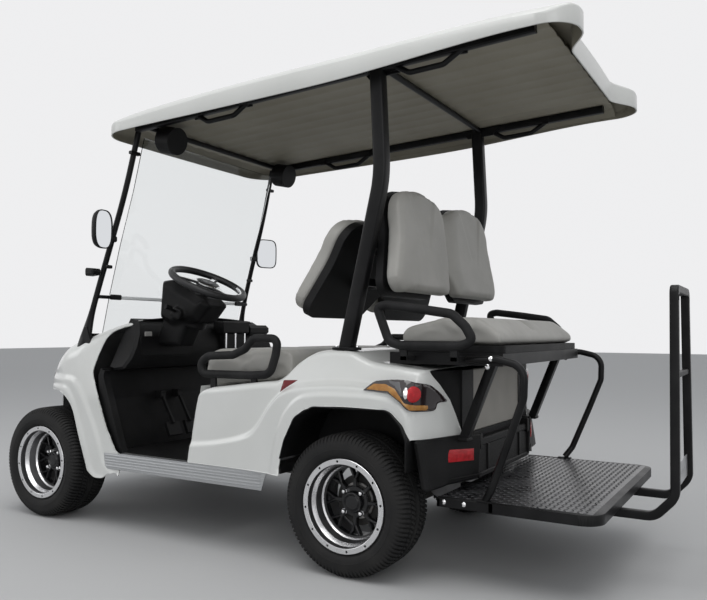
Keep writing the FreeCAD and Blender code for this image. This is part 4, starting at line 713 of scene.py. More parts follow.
# How far the fender's upper edge leans in over the door opening, along the cart.
cowl_lean = ((-1.53, 0.008), (-1.20, 0.010), (-1.00, 0.022), (-0.935, 0.050), (-0.850, 0.105), (-0.740, 0.165),
             (-0.690, 0.180))
front_arch_edge = eased([(-1.458, 0.10), (-1.458, 0.585), (-1.090, 0.592), (-1.001, 0.528), (-0.951, 0.395),
                         (-0.896, 0.264), (-0.889, 0.243), (-0.842, 0.214), (-0.790, 0.219), (-0.764, 0.238),
                         (-0.694, 0.253), (-0.694, 0.10)], 0.05)
door_edge = eased([(-0.400, 0.10), (-0.694, 0.10), (-0.694, 0.332), (-0.718, 0.338), (-0.785, 0.442), (-0.842, 0.572),
                   (-0.900, 0.682), (-0.879, 0.826), (-0.866, 0.866), (-0.838, 0.888), (-0.795, 0.896),
                   (-0.784, 0.980), (-0.400, 0.980)], 0.020)
flare_line = eased([(-1.60, 0.655), (-1.111, 0.662), (-1.040, 0.664), (-0.998, 0.652), (-0.962, 0.626),
                    (-0.927, 0.578), (-0.884, 0.503), (-0.849, 0.447), (-0.813, 0.370), (-0.790, 0.300),
                    (-0.745, 0.262), (-0.690, 0.250)], 0.03)
lip_line = eased([(-1.60, 0.612), (-1.060, 0.617), (-1.024, 0.591), (-0.995, 0.556), (-0.965, 0.498), (-0.928, 0.419),
                  (-0.892, 0.332), (-0.870, 0.262), (-0.840, 0.228), (-0.790, 0.226)], 0.03)


def cowl_side_x(y, z):
    half, shoulder, _, r = through(cowl_stations, y)
    straight = half - 2 * through(cowl_lean, y)[0] * soft_step(z, 0.55, 1.20)
    climb = z - (shoulder - r)
    if climb > 0:
        straight -= r - math.sqrt(max(0.0, r * r - min(climb, r) ** 2))
    fade = soft_step(y, -1.50, -1.36)
    gap, _, _, way = nearest_on(flare_line, y, z)
    proud = 0.008 * soft_step(gap * way, -0.004, 0.020)
    gap, _, _, way = nearest_on(lip_line, y, z)
    proud += 0.005 * soft_step(gap * way, -0.004, 0.012)
    return straight + proud * fade


def cowl_top_point(y, t):
    _, shoulder, crown, _ = through(cowl_stations, y)
    start = cowl_side_x(y, shoulder)
    x = start * (1 - t)
    swage = 0.006 * math.exp(-((x - 0.30 - (y + 1.45) * 0.16) / 0.018) ** 2) * soft_step(y, -1.46, -1.36)
    return x, shoulder + crown * (1 - (x / max(start, 1e-6)) ** 2) + swage * (1 - soft_step(y, -1.02, -0.97))


column_step = 0.0075
shell_wall = 0.0045
screen_foot_y = -0.952
cover_end_y = -0.790
cowl_columns = spread([-1.530, -1.522, -1.458, screen_foot_y, cover_end_y], column_step)
cowl_columns += spread([cover_end_y, -0.694], column_step)[1:]


def cowl_paint(y, kind, v):
    """White in front of the windshield and along the door tops, black for the dash cover behind it."""
    return 1 if y >= screen_foot_y - 1e-4 and kind == "top" and v > 0.05 else 0


cowl = moulding("front_cowl_shell", cowl_columns, cowl_foot, cowl_side_x, lambda y: through(cowl_stations, y)[1],
                lambda y: through(cowl_stations, y)[3], cowl_top_point, [front_arch_edge, door_edge],
                [pearl, black_plastic], shell_wall, cowl_paint, side_rows=84, top_ends_y=cover_end_y)
fit(cowl, "chassis", "white_body", "front_cowl")

# Rear body. The wall's top climbs from the seat base over the hump; a swept ledge parts the skirt from the fender.
# Behind the wheel the fender turns the corner and ends in a fin that faces back.
rear_axle = wheel_y["rear"]
rear_top_line = (
    (-0.300, 0.640), (-0.237, 0.641), (-0.163, 0.646), (-0.018, 0.664), (0.081, 0.676), (0.150, 0.684),
    (0.189, 0.706), (0.235, 0.755), (0.304, 0.793), (0.372, 0.803), (0.459, 0.798), (0.552, 0.766), (0.666, 0.752),
    (0.765, 0.740), (0.900, 0.738))
skirt_front = eased([(-0.295, 0.334), (-0.275, 0.466), (-0.260, 0.549), (-0.245, 0.611), (-0.222, 0.632),
                     (-0.190, 0.641), (-0.16, 0.650)], 0.02)
front_away = skirt_front + [(-0.16, 0.80), (-0.40, 0.80), (-0.40, 0.10), (-0.295, 0.10)]
skirt_foot = [(-0.40, 0.335), (0.200, 0.335), (0.203, 0.365), (0.203, 0.10), (-0.40, 0.10)]
rear_arch_edge = eased([(0.196, 0.335), (0.203, 0.365), (0.229, 0.471), (0.269, 0.547), (0.313, 0.588),
                        (0.392, 0.603), (0.498, 0.607), (0.599, 0.606), (0.665, 0.604), (0.708, 0.556),
                        (0.733, 0.503), (0.745, 0.10), (0.196, 0.10)], 0.035)
fin_edge = [(0.763, 0.80), (0.769, 0.737), (0.788, 0.686), (0.804, 0.631), (0.814, 0.574), (0.826, 0.498)]
tail_away = fin_edge + [(0.733, 0.506), (0.733, 0.10), (1.10, 0.10), (1.10, 0.80)]
swoop_line = eased([(-0.34, 0.408), (-0.274, 0.418), (-0.166, 0.430), (-0.037, 0.456), (0.038, 0.481), (0.077, 0.522),
                    (0.124, 0.590), (0.181, 0.642), (0.227, 0.668), (0.293, 0.682), (0.424, 0.694), (0.550, 0.692),
                    (0.650, 0.683), (0.720, 0.668), (0.790, 0.640), (0.860, 0.600)], 0.05)
arch_band = eased([(0.150, 0.335), (0.180, 0.480), (0.228, 0.580), (0.290, 0.636), (0.392, 0.650), (0.600, 0.652),
                   (0.690, 0.640), (0.740, 0.570), (0.765, 0.500)], 0.05)
ledge_rise = ((-0.30, 0.008), (0.00, 0.012), (0.12, 0.024), (0.23, 0.038), (0.60, 0.038), (0.72, 0.022),
              (0.80, 0.008))
shoulder_in = ((0.10, 0.0), (0.24, 0.045), (0.80, 0.040))
tail_corner_y = 0.752
tail_slope = 3.1
tail_round = 0.034


def tail_x(y, side):
    """Turn the corner at the tail: the smaller of the side's width and the sloping rear face, softly blended."""
    rear_face = 0.600 - tail_slope * (y - tail_corner_y)
    blend = max(0.0, tail_round * 2 - abs(side - rear_face)) / (tail_round * 2)
    return min(side, rear_face) - blend ** 3 * tail_round / 3


rear_edge_r = 0.026


def rear_side_x(y, z):
    top = through(rear_top_line, y)[0]
    r = rear_edge_r
    lean = through(shoulder_in, y)[0] * soft_step(z, 0.640, 0.810)
    x = 0.6065 - lean
    gap, _, _, way = nearest_on(swoop_line, y, z)
    x += through(ledge_rise, y)[0] * soft_step(gap * way, -0.006, 0.022)
    gap, _, _, way = nearest_on(arch_band, y, z)
    x += 0.0075 * soft_step(gap * way, -0.006, 0.008) * soft_step(y, 0.10, 0.20) * (1 - soft_step(y, 0.70, 0.78))
    front_gap = y - skirt_front[0][0]
    for (ay, az), (by, bz) in zip(skirt_front, skirt_front[1:]):
        if az <= z <= bz:
            front_gap = y - (ay + (by - ay) * (z - az) / (bz - az))
    bend = 0.016
    if front_gap < bend:
        x -= bend - math.sqrt(max(0.0, bend * bend - (bend - max(0.0, front_gap)) ** 2))
    x = tail_x(y, x)
    climb = z - (top - r)
    if climb > 0:
        x -= r - math.sqrt(max(0.0, r * r - min(climb, r) ** 2))
    return x


def rear_top_point(y, t):
    z = through(rear_top_line, y)[0]
    start = rear_side_x(y, z)
    x = start * (1 - t)
    return x, z + 0.004 * (1 - (x / start) ** 2)


deck_end_y = 0.7605
rear_columns = spread([-0.300, -0.222, -0.16, 0.203, 0.700, deck_end_y], column_step)
rear_columns += spread([deck_end_y, 0.830], 0.003)[1:]
rear_shell = moulding("rear_body_shell", rear_columns, 0.330, rear_side_x, lambda y: through(rear_top_line, y)[0],
                      lambda y: rear_edge_r, rear_top_point, [front_away, skirt_foot, rear_arch_edge, tail_away],
                      [pearl, black_plastic], shell_wall, side_rows=72, top_ends_y=deck_end_y)
fit(rear_shell, "chassis", "white_body", "rear_body")

# Black inner panels: the wheel wells, the floor tub with its toe board, the front bumper and the pedals. Moulded
# plastic that clips to the body shells and the frame.
for node in ("wheel_arch_liners", "floor_tub", "front_bumper", "pedals"):
    dress(node, black_plastic, 0.002)
panel_grey = new_finish("beige grey panel", (0.37, 0.35, 0.31), 0.5)
relief(panel_grey, 500.0, 0.0005, 0.4)
tint(panel_grey, 6.0, (0.34, 0.32, 0.285), (0.40, 0.38, 0.34))

# Sills: ribbed aluminium extrusions under the door openings, one a side. Each is cut from one length, anodised and
# screwed to the floor's edge.
sill_alloy = new_finish("anodised sill", (0.50, 0.51, 0.52), 0.34, 0.85)
sill_lines = texture(sill_alloy, "Noise", 40.0)
sill_nodes, sill_links, _ = shader_of(sill_alloy)
sill_stretch = sill_nodes.new("ShaderNodeMapping")
sill_stretch.inputs["Scale"].default_value = (1.0, 0.02, 6.0)
sill_links.new(sill_nodes["Texture Coordinate"].outputs["Object"], sill_stretch.inputs["Vector"])
sill_links.new(sill_stretch.outputs["Vector"], sill_lines.node.inputs["Vector"])
tint(sill_alloy, sill_lines, (0.42, 0.43, 0.44), (0.56, 0.57, 0.58))
vary_gloss(sill_alloy, sill_lines, 0.25, 0.45)
dress("rocker_panels", sill_alloy, 0.0008)

# Dashboard: one black moulding across the cabin, with grey-lined slots on the left, a lobe and a pocket on the
# right, and three bright strips there. Injection-moulded plastic, screwed to the inside of the cowl.
pocket_grey = new_finish("grey pocket lining", (0.30, 0.295, 0.28), 0.55)
relief(pocket_grey, 420.0, 0.0005, 0.4)
tint(pocket_grey, 9.0, (0.27, 0.265, 0.25), (0.33, 0.325, 0.31))


def bent_path(points, bend, closed=False, arc_steps=7):
    """A path of straight runs with its corners rounded to a bend radius."""
    marks = [Vector(p) for p in points]
    count = len(marks)
    path = [] if closed else [marks[0]]
    for i in range(0 if closed else 1, count if closed else count - 1):
        here = marks[i]
        to_last, to_next = marks[i - 1] - here, marks[(i + 1) % count] - here
        turn = to_last.angle(to_next)
        if abs(turn - math.pi) < 1e-3:
            path.append(here)
            continue
        back = min(bend / math.tan(turn / 2), 0.48 * min(to_last.length, to_next.length))
        radius = back * math.tan(turn / 2)
        a, b = to_last.normalized(), to_next.normalized()
        centre = here + (a + b).normalized() * (radius / math.sin(turn / 2))
        first, last = here + a * back - centre, here + b * back - centre
        swing = first.angle(last)
        for step in range(arc_steps + 1):
            share = step / arc_steps
            path.append(centre + (first * math.sin((1 - share) * swing) + last * math.sin(share * swing))
                        / math.sin(swing))
    if not closed:
        path.append(marks[-1])
    return path


def box_ring(width, depth, corner, steps=3):
    """Section of a box tube with rounded corners."""
    section = []
    for k, (su, sv) in enumerate(((1, 1), (-1, 1), (-1, -1), (1, -1))):
        for step in range(steps + 1):
            angle = math.pi / 2 * (k + step / steps)
            section.append((su * (width / 2 - corner) + corner * math.cos(angle),
                            sv * (depth / 2 - corner) + corner * math.sin(angle)))
    return section


def swept(path, section, across=None, closed=False):
    """Points and faces of a bar along a path. Its section is a list of (u, v), or makes one for a share of the way.

    u lies along the vector across where one is given."""
    count = len(path)
    points = []
    side = Vector(across).normalized() if across else None
    size = None
    for i in range(count):
        before = path[i - 1] if (closed or i > 0) else path[i]
        after = path[(i + 1) % count] if (closed or i < count - 1) else path[i]
        way = (after - before).normalized()
        if side is None:
            side = way.orthogonal().normalized()
        u_way = (side - way * side.dot(way)).normalized()
        v_way = way.cross(u_way)
        if across is None:
            side = u_way
        cut = section(i / (count - 1)) if callable(section) else section
        size = len(cut)
        points += [path[i] + u_way * u + v_way * v for u, v in cut]
    faces = walls(count, size, closed)
    if not closed:
        faces.append(tuple(range(size - 1, -1, -1)))
        faces.append(tuple(range((count - 1) * size, count * size)))
    return points, faces


def join(*parts):
    """One mesh's points, faces and finish numbers from several parts of (points, faces[, finish number])."""
    whole = ([], [], [])
    for part in parts:
        add_to(whole, part[:2], part[2] if len(part) > 2 and isinstance(part[2], int) else 0)
    return whole


def slab_of(outline, low, high, axis, chamfer=0.0):
    """A solid between two places along an axis, both edges chamfered."""
    rings = [(low, chamfer), (low + chamfer, 0.0), (high - chamfer, 0.0), (high, chamfer)]
    return solid_of(outline, rings if chamfer > 0 else [(low, 0.0), (high, 0.0)], axis)


def brick(x0, x1, y0, y1, z0, z1, chamfer=0.001):
    """A box with chamfered edges."""
    return slab_of([(x0, y0), (x1, y0), (x1, y1), (x0, y1)], z0, z1, "z", chamfer)


def moved_by(part, shift, turn=None):
    """A part turned by a matrix and shifted."""
    points = [(turn @ Vector(p) if turn else Vector(p)) + Vector(shift) for p in part[0]]
    return (points, part[1]) + tuple(part[2:])


def both_sides(part):
    """A part and its mirror image on the cart's other side."""
    points, faces = list(part[0]), list(part[1])
    start = len(points)
    return (points + [(-p[0], p[1], p[2]) for p in points],
            faces + [tuple(start + i for i in reversed(face)) for face in faces],
            part[2] * 2 if len(part) > 2 else [0] * 2 * len(faces))


dash_half, dash_narrows = 0.560, 0.225
dash_face = [(-0.842, 0.706), (-0.800, 0.690), (-0.745, 0.700), (-0.722, 0.745), (-0.722, 0.800), (-0.738, 0.858),
             (-0.766, 0.900), (-0.800, 0.922), (-0.842, 0.930)]


def dash_part(y0, y1, z0, z1, x0, x1, chamfer, finish_at):
    return brick(x0, x1, y0, y1, z0, z1, chamfer) + (finish_at,)


dash_body = slab_of(dash_face, -dash_half, dash_half, "x", 0.012)
dash_body = ([(x * (1 - dash_narrows * (z - 0.690) / 0.240), y, z) for x, y, z in dash_body[0]], dash_body[1], 0)
dash_trim = join(
    dash_body,
    dash_part(-0.726, -0.7205, 0.752, 0.846, 0.150, 0.470, 0.006, 0),
    dash_part(-0.726, -0.7195, 0.845, 0.868, 0.405, 0.445, 0.003, 1),
    dash_part(-0.726, -0.7195, 0.845, 0.868, 0.290, 0.335, 0.003, 1),
    dash_part(-0.760, -0.690, 0.860, 0.925, -0.265, -0.060, 0.008, 0),
    dash_part(-0.745, -0.700, 0.770, 0.862, -0.250, -0.075, 0.006, 0),
    *[dash_part(-0.704, -0.6965, 0.782, 0.862, x - 0.005, x + 0.005, 0.002, 2) for x in (-0.088, -0.162, -0.238)],
    dash_part(-0.780, -0.700, 0.850, 0.905, -0.450, -0.290, 0.016, 0))
trim = made("dash_moulding", dash_trim, [black_plastic, pocket_grey, chrome], "black_plastic", "dashboard")
break_edges(trim, 0.004, 3, 30)

# Steering column pod: a black plastic shroud round the steering column, with a stalk on each side. Two moulded
# halves, screwed together round the tube and to the dash.
column_angle = -25
column_tilt = Matrix.Rotation(math.radians(column_angle), 3, "X")
wheel_centre = Vector((0.300, front_axle + 0.720, 1.092))


def on_column(part):
    """Turn a part made about the upright axis onto the steering column, its zero at the wheel's centre."""
    return moved_by(part, wheel_centre, column_tilt)


def turned_up(outline, steps=32):
    """Spin an outline of (radius, height) round the upright axis."""
    points, faces = [], []
    width = len(outline)
    for s in range(steps):
        angle = 2 * math.pi * s / steps
        points += [(r * math.cos(angle), r * math.sin(angle), z) for r, z in outline]
    for s in range(steps):
        here, after = s * width, ((s + 1) % steps) * width
        for k in range(width - 1):
            faces.append((here + k, after + k, after + k + 1, here + k + 1))
    return points, faces


def applied(piece):
    """Turn a piece's modifiers into its mesh."""
    graph = bpy.context.evaluated_depsgraph_get()
    mesh = bpy.data.meshes.new_from_object(piece.evaluated_get(graph))
    old = piece.data
    piece.modifiers.clear()
    piece.data = mesh
    bpy.data.meshes.remove(old)
    return piece


def ease_out(piece, steps):
    ease = piece.modifiers.new("ease", "SMOOTH")
    ease.factor = 0.5
    ease.iterations = steps
    return applied(piece)


def remeshed(name, mesh, voxel, ease_steps):
    """One soft-edged body from a mesh of blocks that may overlap."""
    piece = placed(name, mesh)
    skin = piece.modifiers.new("skin", "REMESH")
    skin.mode = "VOXEL"
    skin.voxel_size = voxel
    return ease_out(piece, ease_steps)


def moulded(name, parts, voxel, ease_steps, finish):
    """One soft-edged moulding from overlapping blocks."""
    piece = remeshed(name, mesh_of(name, *join(*parts)[:2]), voxel, ease_steps)
    piece.data.materials.append(finish)
    piece.data.shade_smooth()
    return piece


pod = moulded("column_pod", [
    on_column(turned_up([(0.0, -0.062), (0.036, -0.062), (0.050, -0.120), (0.062, -0.212), (0.0, -0.212)], 40)),
    slab_of([(-0.712, 0.935), (-0.625, 0.890), (-0.475, 0.914), (-0.408, 0.985), (-0.440, 1.018), (-0.560, 1.072),
             (-0.640, 1.112), (-0.700, 1.108)], 0.208, 0.392, "x", 0.034),
    on_column(brick(-0.118, 0.118, -0.050, 0.012, -0.190, -0.140, 0.010)),
    slab_of([(-0.760, 0.800), (-0.600, 0.800), (-0.540, 0.910), (-0.690, 0.955)], 0.238, 0.362, "x", 0.020)],
    0.005, 8, black_plastic)
fit(pod, "chassis", "black_plastic", "steering_pod")
stalk_parts = []
for side, reach in ((1, 0.172), (-1, 0.160)):
    stalk = swept(bent_path([(side * 0.05, -0.02, -0.165), (side * 0.110, -0.024, -0.158),
                             (side * reach, -0.034, -0.140)], 0.05), circle(0.0065, 12))
    knob_ends = [Vector((side * (reach - 0.030), -0.0325, -0.143)), Vector((side * (reach + 0.004), -0.035, -0.1385))]
    knob = swept(knob_ends, circle(0.0105, 16))
    stalk_parts += [on_column(stalk), on_column(knob)]
made("column_stalks", join(*stalk_parts), [black_plastic], "black_plastic")

# Steering wheel: a thick rim on three spokes, with a round hub cover and bright inserts. A steel core in a moulded
# black skin, held on the column by a nut under the cover.
grip_black = new_finish("steering wheel skin", (0.014, 0.014, 0.015), 0.42)
relief(grip_black, texture(grip_black, "Voronoi", 650.0), 0.0006, 0.4)
vary_gloss(grip_black, 18.0, 0.32, 0.55)
cap_grey = new_finish("hub cover grey", (0.13, 0.13, 0.135), 0.4)
vary_gloss(cap_grey, 30.0, 0.3, 0.5)
ring_r = 0.170
grip_r = 0.0172


def grip_section(share):
    """The rim is thicker at the two hand holds."""
    hold = sum(math.exp(-((share - at) / 0.035) ** 2) for at in (0.085, 0.415))
    return circle(grip_r - 0.0012 + 0.0012 * min(1.0, hold), 14)


ring_path = [Vector((u, v, 0.0)) for u, v in circle(ring_r, 96)]
wheel_parts = [on_column(swept(ring_path, grip_section, closed=True)) + (0,)]
insert_r = ring_r - 0.0135
for start, end in ((20, 72), (108, 160)):
    arc = [Vector((insert_r * math.cos(math.radians(a)), insert_r * math.sin(math.radians(a)), 0.006))
           for a in range(start, end + 1, 4)]
    wheel_parts.append(on_column(swept(arc, circle(0.0062, 12), (0, 0, 1))) + (1,))
for angle in (90, 210, 330):
    turn = Matrix.Rotation(math.radians(angle), 3, "Z")
    spoke = slab_of([(0.034, -0.026), (0.090, -0.0165), (0.168, -0.0145), (0.168, 0.0145), (0.090, 0.0165),
                     (0.034, 0.026)], -0.0085, 0.0005, "z", 0.0022)
    plate = slab_of([(0.050, -0.013), (0.100, -0.0095), (0.160, -0.0085), (0.160, 0.0085), (0.100, 0.0095),
                     (0.050, 0.013)], 0.0, 0.0022, "z", 0.0009)
    wheel_parts.append(on_column(moved_by(spoke, (0, 0, 0), turn)) + (0,))
    wheel_parts.append(on_column(moved_by(plate, (0, 0, 0), turn)) + (1,))
wheel_parts.append(on_column(turned_up([
    (0.0, -0.070), (0.0205, -0.070), (0.0205, -0.028), (0.044, -0.026), (0.053, -0.014), (0.0560, -0.002),
    (0.0540, 0.0035), (0.0500, 0.0060), (0.0, 0.0090)], 48)) + (0,))
wheel_parts.append(on_column(turned_up([
    (0.0565, -0.003), (0.0580, 0.0), (0.0575, 0.0036), (0.0545, 0.0050), (0.0535, 0.0040)], 48)) + (1,))
wheel_parts.append(on_column(turned_up([
    (0.0, 0.0085), (0.027, 0.0085), (0.0285, 0.0102), (0.0300, 0.0102), (0.0310, 0.0070)], 40)) + (2,))
made("steering_wheel_rim", join(*wheel_parts), [grip_black, chrome, cap_grey], "wheel_rubber", "steering_wheel",
     body="steering_wheel")

# Windshield: two clear acrylic panes between bent black struts. The lower is fixed, the upper folds down on its
# seam and is held by black latches; each strut flares into a pointed foot bolted to the cowl.
frame_black = new_finish("black powder coat", (0.010, 0.010, 0.011), 0.34, Specular_IOR_Level=0.2)
relief(frame_black, 420.0, 0.0005, 0.3)
coat_film = texture(frame_black, "Noise", 9.0, 5.0)
tint(frame_black, coat_film, (0.005, 0.005, 0.0055), (0.013, 0.013, 0.0135), 0.4, 0.75)
vary_gloss(frame_black, coat_film, 0.26, 0.5)

clear_pane = new_finish("clear acrylic", (0.93, 0.95, 0.95), 0.03, Transmission_Weight=1.0, IOR=1.49)
pane_nodes, pane_links, clear_shader = shader_of(clear_pane)
vary_gloss(clear_pane, 6.0, 0.01, 0.05)
pane_back = pane_nodes.new("ShaderNodeBsdfTransparent")
pane_mix = pane_nodes.new("ShaderNodeMixShader")
pane_light = pane_nodes.new("ShaderNodeLightPath")
pane_links.new(pane_light.outputs["Is Shadow Ray"], pane_mix.inputs["Fac"])
pane_links.new(clear_shader.outputs["BSDF"], pane_mix.inputs[1])
pane_links.new(pane_back.outputs["BSDF"], pane_mix.inputs[2])
pane_links.new(pane_mix.outputs["Shader"], pane_nodes["Material Output"].inputs["Surface"])
dress("windshield_panes", clear_pane, 0)

front_strut = [(0.560, -1.009, 0.776), (0.536, -0.963, 1.000), (0.521, -0.877, 1.270), (0.510, -0.795, 1.520),
               (0.500, -0.725, 1.803)]


def strut_section(share):
    """Round above, stretched fore and aft towards the foot."""
    foot = 1 - soft_step(share, 0.0, 0.24)
    return [(0.013 * math.cos(t) * (1 + 0.5 * foot), 0.013 * math.sin(t) * (1 + 1.9 * foot))
            for t in (2 * math.pi * i / 18 for i in range(18))]


strut_path = []
for low, high in zip(front_strut, front_strut[1:]):
    strut_path += [Vector(low).lerp(Vector(high), k / 8) for k in range(8)]
strut_path.append(Vector(front_strut[-1]))
strut_path = [sum((strut_path[min(max(i + d, 0), len(strut_path) - 1)] for d in range(-3, 4)), Vector()) / 7
              if 3 < i < len(strut_path) - 4 else p for i, p in enumerate(strut_path)]
strut_foot = slab_of([(-1.045, 0.775), (-0.955, 0.796), (-0.944, 0.812), (-0.962, 0.850), (-0.975, 0.890),
                      (-0.992, 0.890), (-1.006, 0.850), (-1.030, 0.800)], 0.541, 0.571, "x", 0.005)
latches = []
for z, y, reach in ((1.030, -0.936, 0.428), (0.850, -0.975, 0.500), (1.170, -0.897, 0.500), (1.690, -0.746, 0.480)):
    latches.append(brick(reach, 0.532, y - 0.009, y + 0.011, z - 0.008, z + 0.008, 0.003))
latches.append(brick(0.420, 0.478, -0.9255, -0.912, 1.018, 1.043, 0.004))
strut_set = both_sides(join(swept(strut_path, strut_section, (1, 0, 0)), strut_foot, *latches))
made("front_struts", strut_set, [frame_black], "frame_black", "windshield_struts")

# Painted highlight: the seam between the panes is a thin strip made matt white where its clear acrylic edge catches
# the light.
seam_painted_highlight = new_finish("seam edge painted highlight", (0.92, 0.94, 0.94), 0.35)
vary_gloss(seam_painted_highlight, 60.0, 0.15, 0.4)
made("windshield_seam", brick(-0.478, 0.478, -0.9350, -0.9250, 1.0215, 1.0385, 0.003), [seam_painted_highlight], "clear_pane")

# Main struts: box tubes that stand on round flanges on the hump and carry the roof rails. Bent steel tube, welded
# to its flange, powder coated, and held by two bolts a foot.
main_parts = []
strut_x, strut_foot_y, strut_foot_z = 0.505, rear_axle - 0.064, 0.803
main_path = bent_path([(strut_x, strut_foot_y, strut_foot_z), (strut_x, strut_foot_y + 0.150, 1.450),
                       (strut_x, strut_foot_y + 0.129, 1.863)], 0.5, arc_steps=14)
strut_wide, strut_deep = 0.048, 0.054
main_parts.append(swept(main_path, box_ring(strut_wide, strut_deep, 0.010), (1, 0, 0)))
flange = turned_up([(0.0, 0.0), (0.043, 0.0), (0.044, 0.0015), (0.044, 0.0085), (0.0425, 0.0100), (0.0, 0.0100)], 40)
main_parts.append(moved_by(([(x, y * 1.35, z) for x, y, z in flange[0]], flange[1]),
                           (strut_x, strut_foot_y, strut_foot_z + 0.0003)))
for dy in (0.046, -0.046):
    main_parts.append(moved_by(slab_of(circle(0.0068, 6), 0.0, 0.0055, "z", 0.001),
                               (strut_x, strut_foot_y + dy, strut_foot_z + 0.010)) + (1,))
made("main_struts_tubes", both_sides(join(*main_parts)), [frame_black, chrome], "frame_black", "main_struts")

# Roof rails with their cross tubes and grab handles: box and round steel tube, powder coated, with plates where the
# main struts meet them.
roof_half = 0.600
roof_front, roof_rear = front_axle + 0.300, rear_axle + 0.815
rail_front_y, rail_rear_y = front_axle + 0.500, roof_rear - 0.146
rail_low_z, rail_rise = 1.803, 0.081


def rail_z(y):
    return rail_low_z + rail_rise * (y - rail_front_y) / (rail_rear_y - rail_front_y)


rail_x = 0.510
rail_parts = [swept([Vector((rail_x, y, rail_z(y))) for y in (rail_front_y - 0.030, rail_rear_y)],
                    box_ring(0.030, 0.034, 0.006), (1, 0, 0))]
handle_drop, handle_run = 0.048, 0.070
for low, high in ((-0.295, -0.150), (0.675, 0.810)):
    grip = bent_path([(rail_x, low - handle_run, rail_z(low) - 0.006), (rail_x, low, rail_z(low) - handle_drop),
                      (rail_x, high, rail_z(high) - handle_drop),
                      (rail_x, high + handle_run, rail_z(high) - 0.006)], 0.035)
    rail_parts.append(swept(grip, circle(0.0105, 14), (1, 0, 0)))
    for y in (low - handle_run, high + handle_run):
        rail_parts.append(brick(0.492, 0.500, y - 0.016, y + 0.016, rail_z(y) - 0.022, rail_z(y) + 0.014, 0.002))
for y in (rail_front_y + 0.024, rear_axle + 0.084):
    rail_parts.append(swept([Vector((0.0, y, rail_z(y))), Vector((0.500, y, rail_z(y)))], circle(0.0125, 16)))
rail_parts.append(slab_of([(rear_axle + 0.020, rail_z(0.5) - 0.030), (rear_axle + 0.150, rail_z(0.6) - 0.030),
                           (rear_axle + 0.190, rail_z(0.66) + 0.010), (rear_axle - 0.010, rail_z(0.46) + 0.010)],
                          0.486, 0.4945, "x", 0.002))
made("roof_rail_tubes", both_sides(join(*rail_parts)), [frame_black], "frame_black", "roof_rails")
dress("roof_speakers", black_plastic, 0.003)

# Canopy: a cream sheet, crowned, with a deep side lip, a rolled-down front and a notched tail. Vacuum-formed
# plastic that lies on the roof rails and is screwed to them.
roof_cream = new_finish("cream canopy", (0.66, 0.665, 0.64), 0.38, Coat_Weight=0.35, Coat_Roughness=0.12)
relief(roof_cream, 300.0, 0.0004, 0.25)
ceiling_grey = new_finish("beige grey ceiling", (0.27, 0.25, 0.195), 0.55)
relief(ceiling_grey, 420.0, 0.0006, 0.4)
tint(ceiling_grey, 4.0, (0.245, 0.225, 0.172), (0.295, 0.275, 0.22))
roof_film = texture(roof_cream, "Noise", 3.5, 6.0)
tint(roof_cream, roof_film, (0.63, 0.635, 0.61), (0.68, 0.685, 0.66))
vary_gloss(roof_cream, roof_film, 0.3, 0.46)
# Columns: place along the cart, height of the lip's lower edge, of its top, of the shoulder and of the crown.
roof_stations = tuple((front_axle + back, low, lip, shoulder, crown) for back, low, lip, shoulder, crown in (
    (0.290, 1.772, 1.788, 1.800, 1.812), (0.395, 1.772, 1.806, 1.842, 1.868), (0.597, 1.778, 1.823, 1.868, 1.905),
    (1.100, 1.790, 1.855, 1.895, 1.930), (1.628, 1.808, 1.873, 1.912, 1.946), (2.224, 1.852, 1.896, 1.932, 1.956),
    (2.560, 1.858, 1.884, 1.926, 1.948)))


front_corner, rear_corner, roof_edge_width, notch_depth = 0.145, 0.105, 0.062, 0.074


def roof_edges(x):
    """Where the canopy starts and ends along the cart at a distance from its middle."""
    side = abs(x)
    front = roof_front + 0.010 * (side / roof_half) ** 2
    if side > roof_half - front_corner:
        front += front_corner - math.sqrt(max(0.0, front_corner ** 2 - (side - roof_half + front_corner) ** 2))
    rear = roof_rear - notch_depth * (1 - soft_step(side, 0.300, 0.475))
    if side > roof_half - rear_corner:
        rear -= 0.115 * (1 - math.sqrt(max(0.0, 1 - ((side - roof_half + rear_corner) / rear_corner) ** 2)))
    return front, rear


def roof_height(x, y):
    _, lip, shoulder, crown = through(roof_stations, y)
    side = abs(x)
    inner = roof_half - roof_edge_width
    if side <= inner:
        return crown - (crown - shoulder) * (side / inner) ** 2
    t = (side - inner) / roof_edge_width
    return lip + (shoulder - lip) * (1 - t ** 1.6 * (0.55 + 0.45 * t))


roof_x = [roof_half * (1 - (1 - i / 40) ** 1.7) for i in range(41)]
roof_x = sorted({round(v, 6) for v in roof_x} | {0.572, 0.590, 0.597})
roof_x = [-v for v in reversed(roof_x[1:])] + roof_x
roof_steps = 72
roof_share = [0.5 - 0.5 * math.cos(math.pi * k / roof_steps) for k in range(roof_steps + 1)]
roof_points, roof_faces = [], []
for x in roof_x:
    front, rear = roof_edges(x)
    for share in roof_share:
        y = front + (rear - front) * share
        z = roof_height(x, y)
        for gap, roll in ((y - front, 0.016), (rear - y, 0.012)):
            if gap < roll:
                z -= roll - math.sqrt(max(0.0, roll ** 2 - (roll - gap) ** 2))
        roof_points.append((x, y, z))
row = roof_steps + 1
for i in range(len(roof_x) - 1):
    for k in range(roof_steps):
        roof_faces.append((i * row + k, i * row + k + 1, (i + 1) * row + k + 1, (i + 1) * row + k))
rim = ([i * row for i in range(len(roof_x))] + [(len(roof_x) - 1) * row + k for k in range(1, row)]
       + [i * row + row - 1 for i in range(len(roof_x) - 2, -1, -1)] + [k for k in range(row - 2, 0, -1)])
skirt = {}
for place in rim:
    x, y, z = roof_points[place]
    skirt[place] = len(roof_points)
    roof_points.append((x, y, min(z - 0.008, through(roof_stations, y)[0])))
for a, b in zip(rim, rim[1:] + rim[:1]):
    roof_faces.append((a, b, skirt[b], skirt[a]))
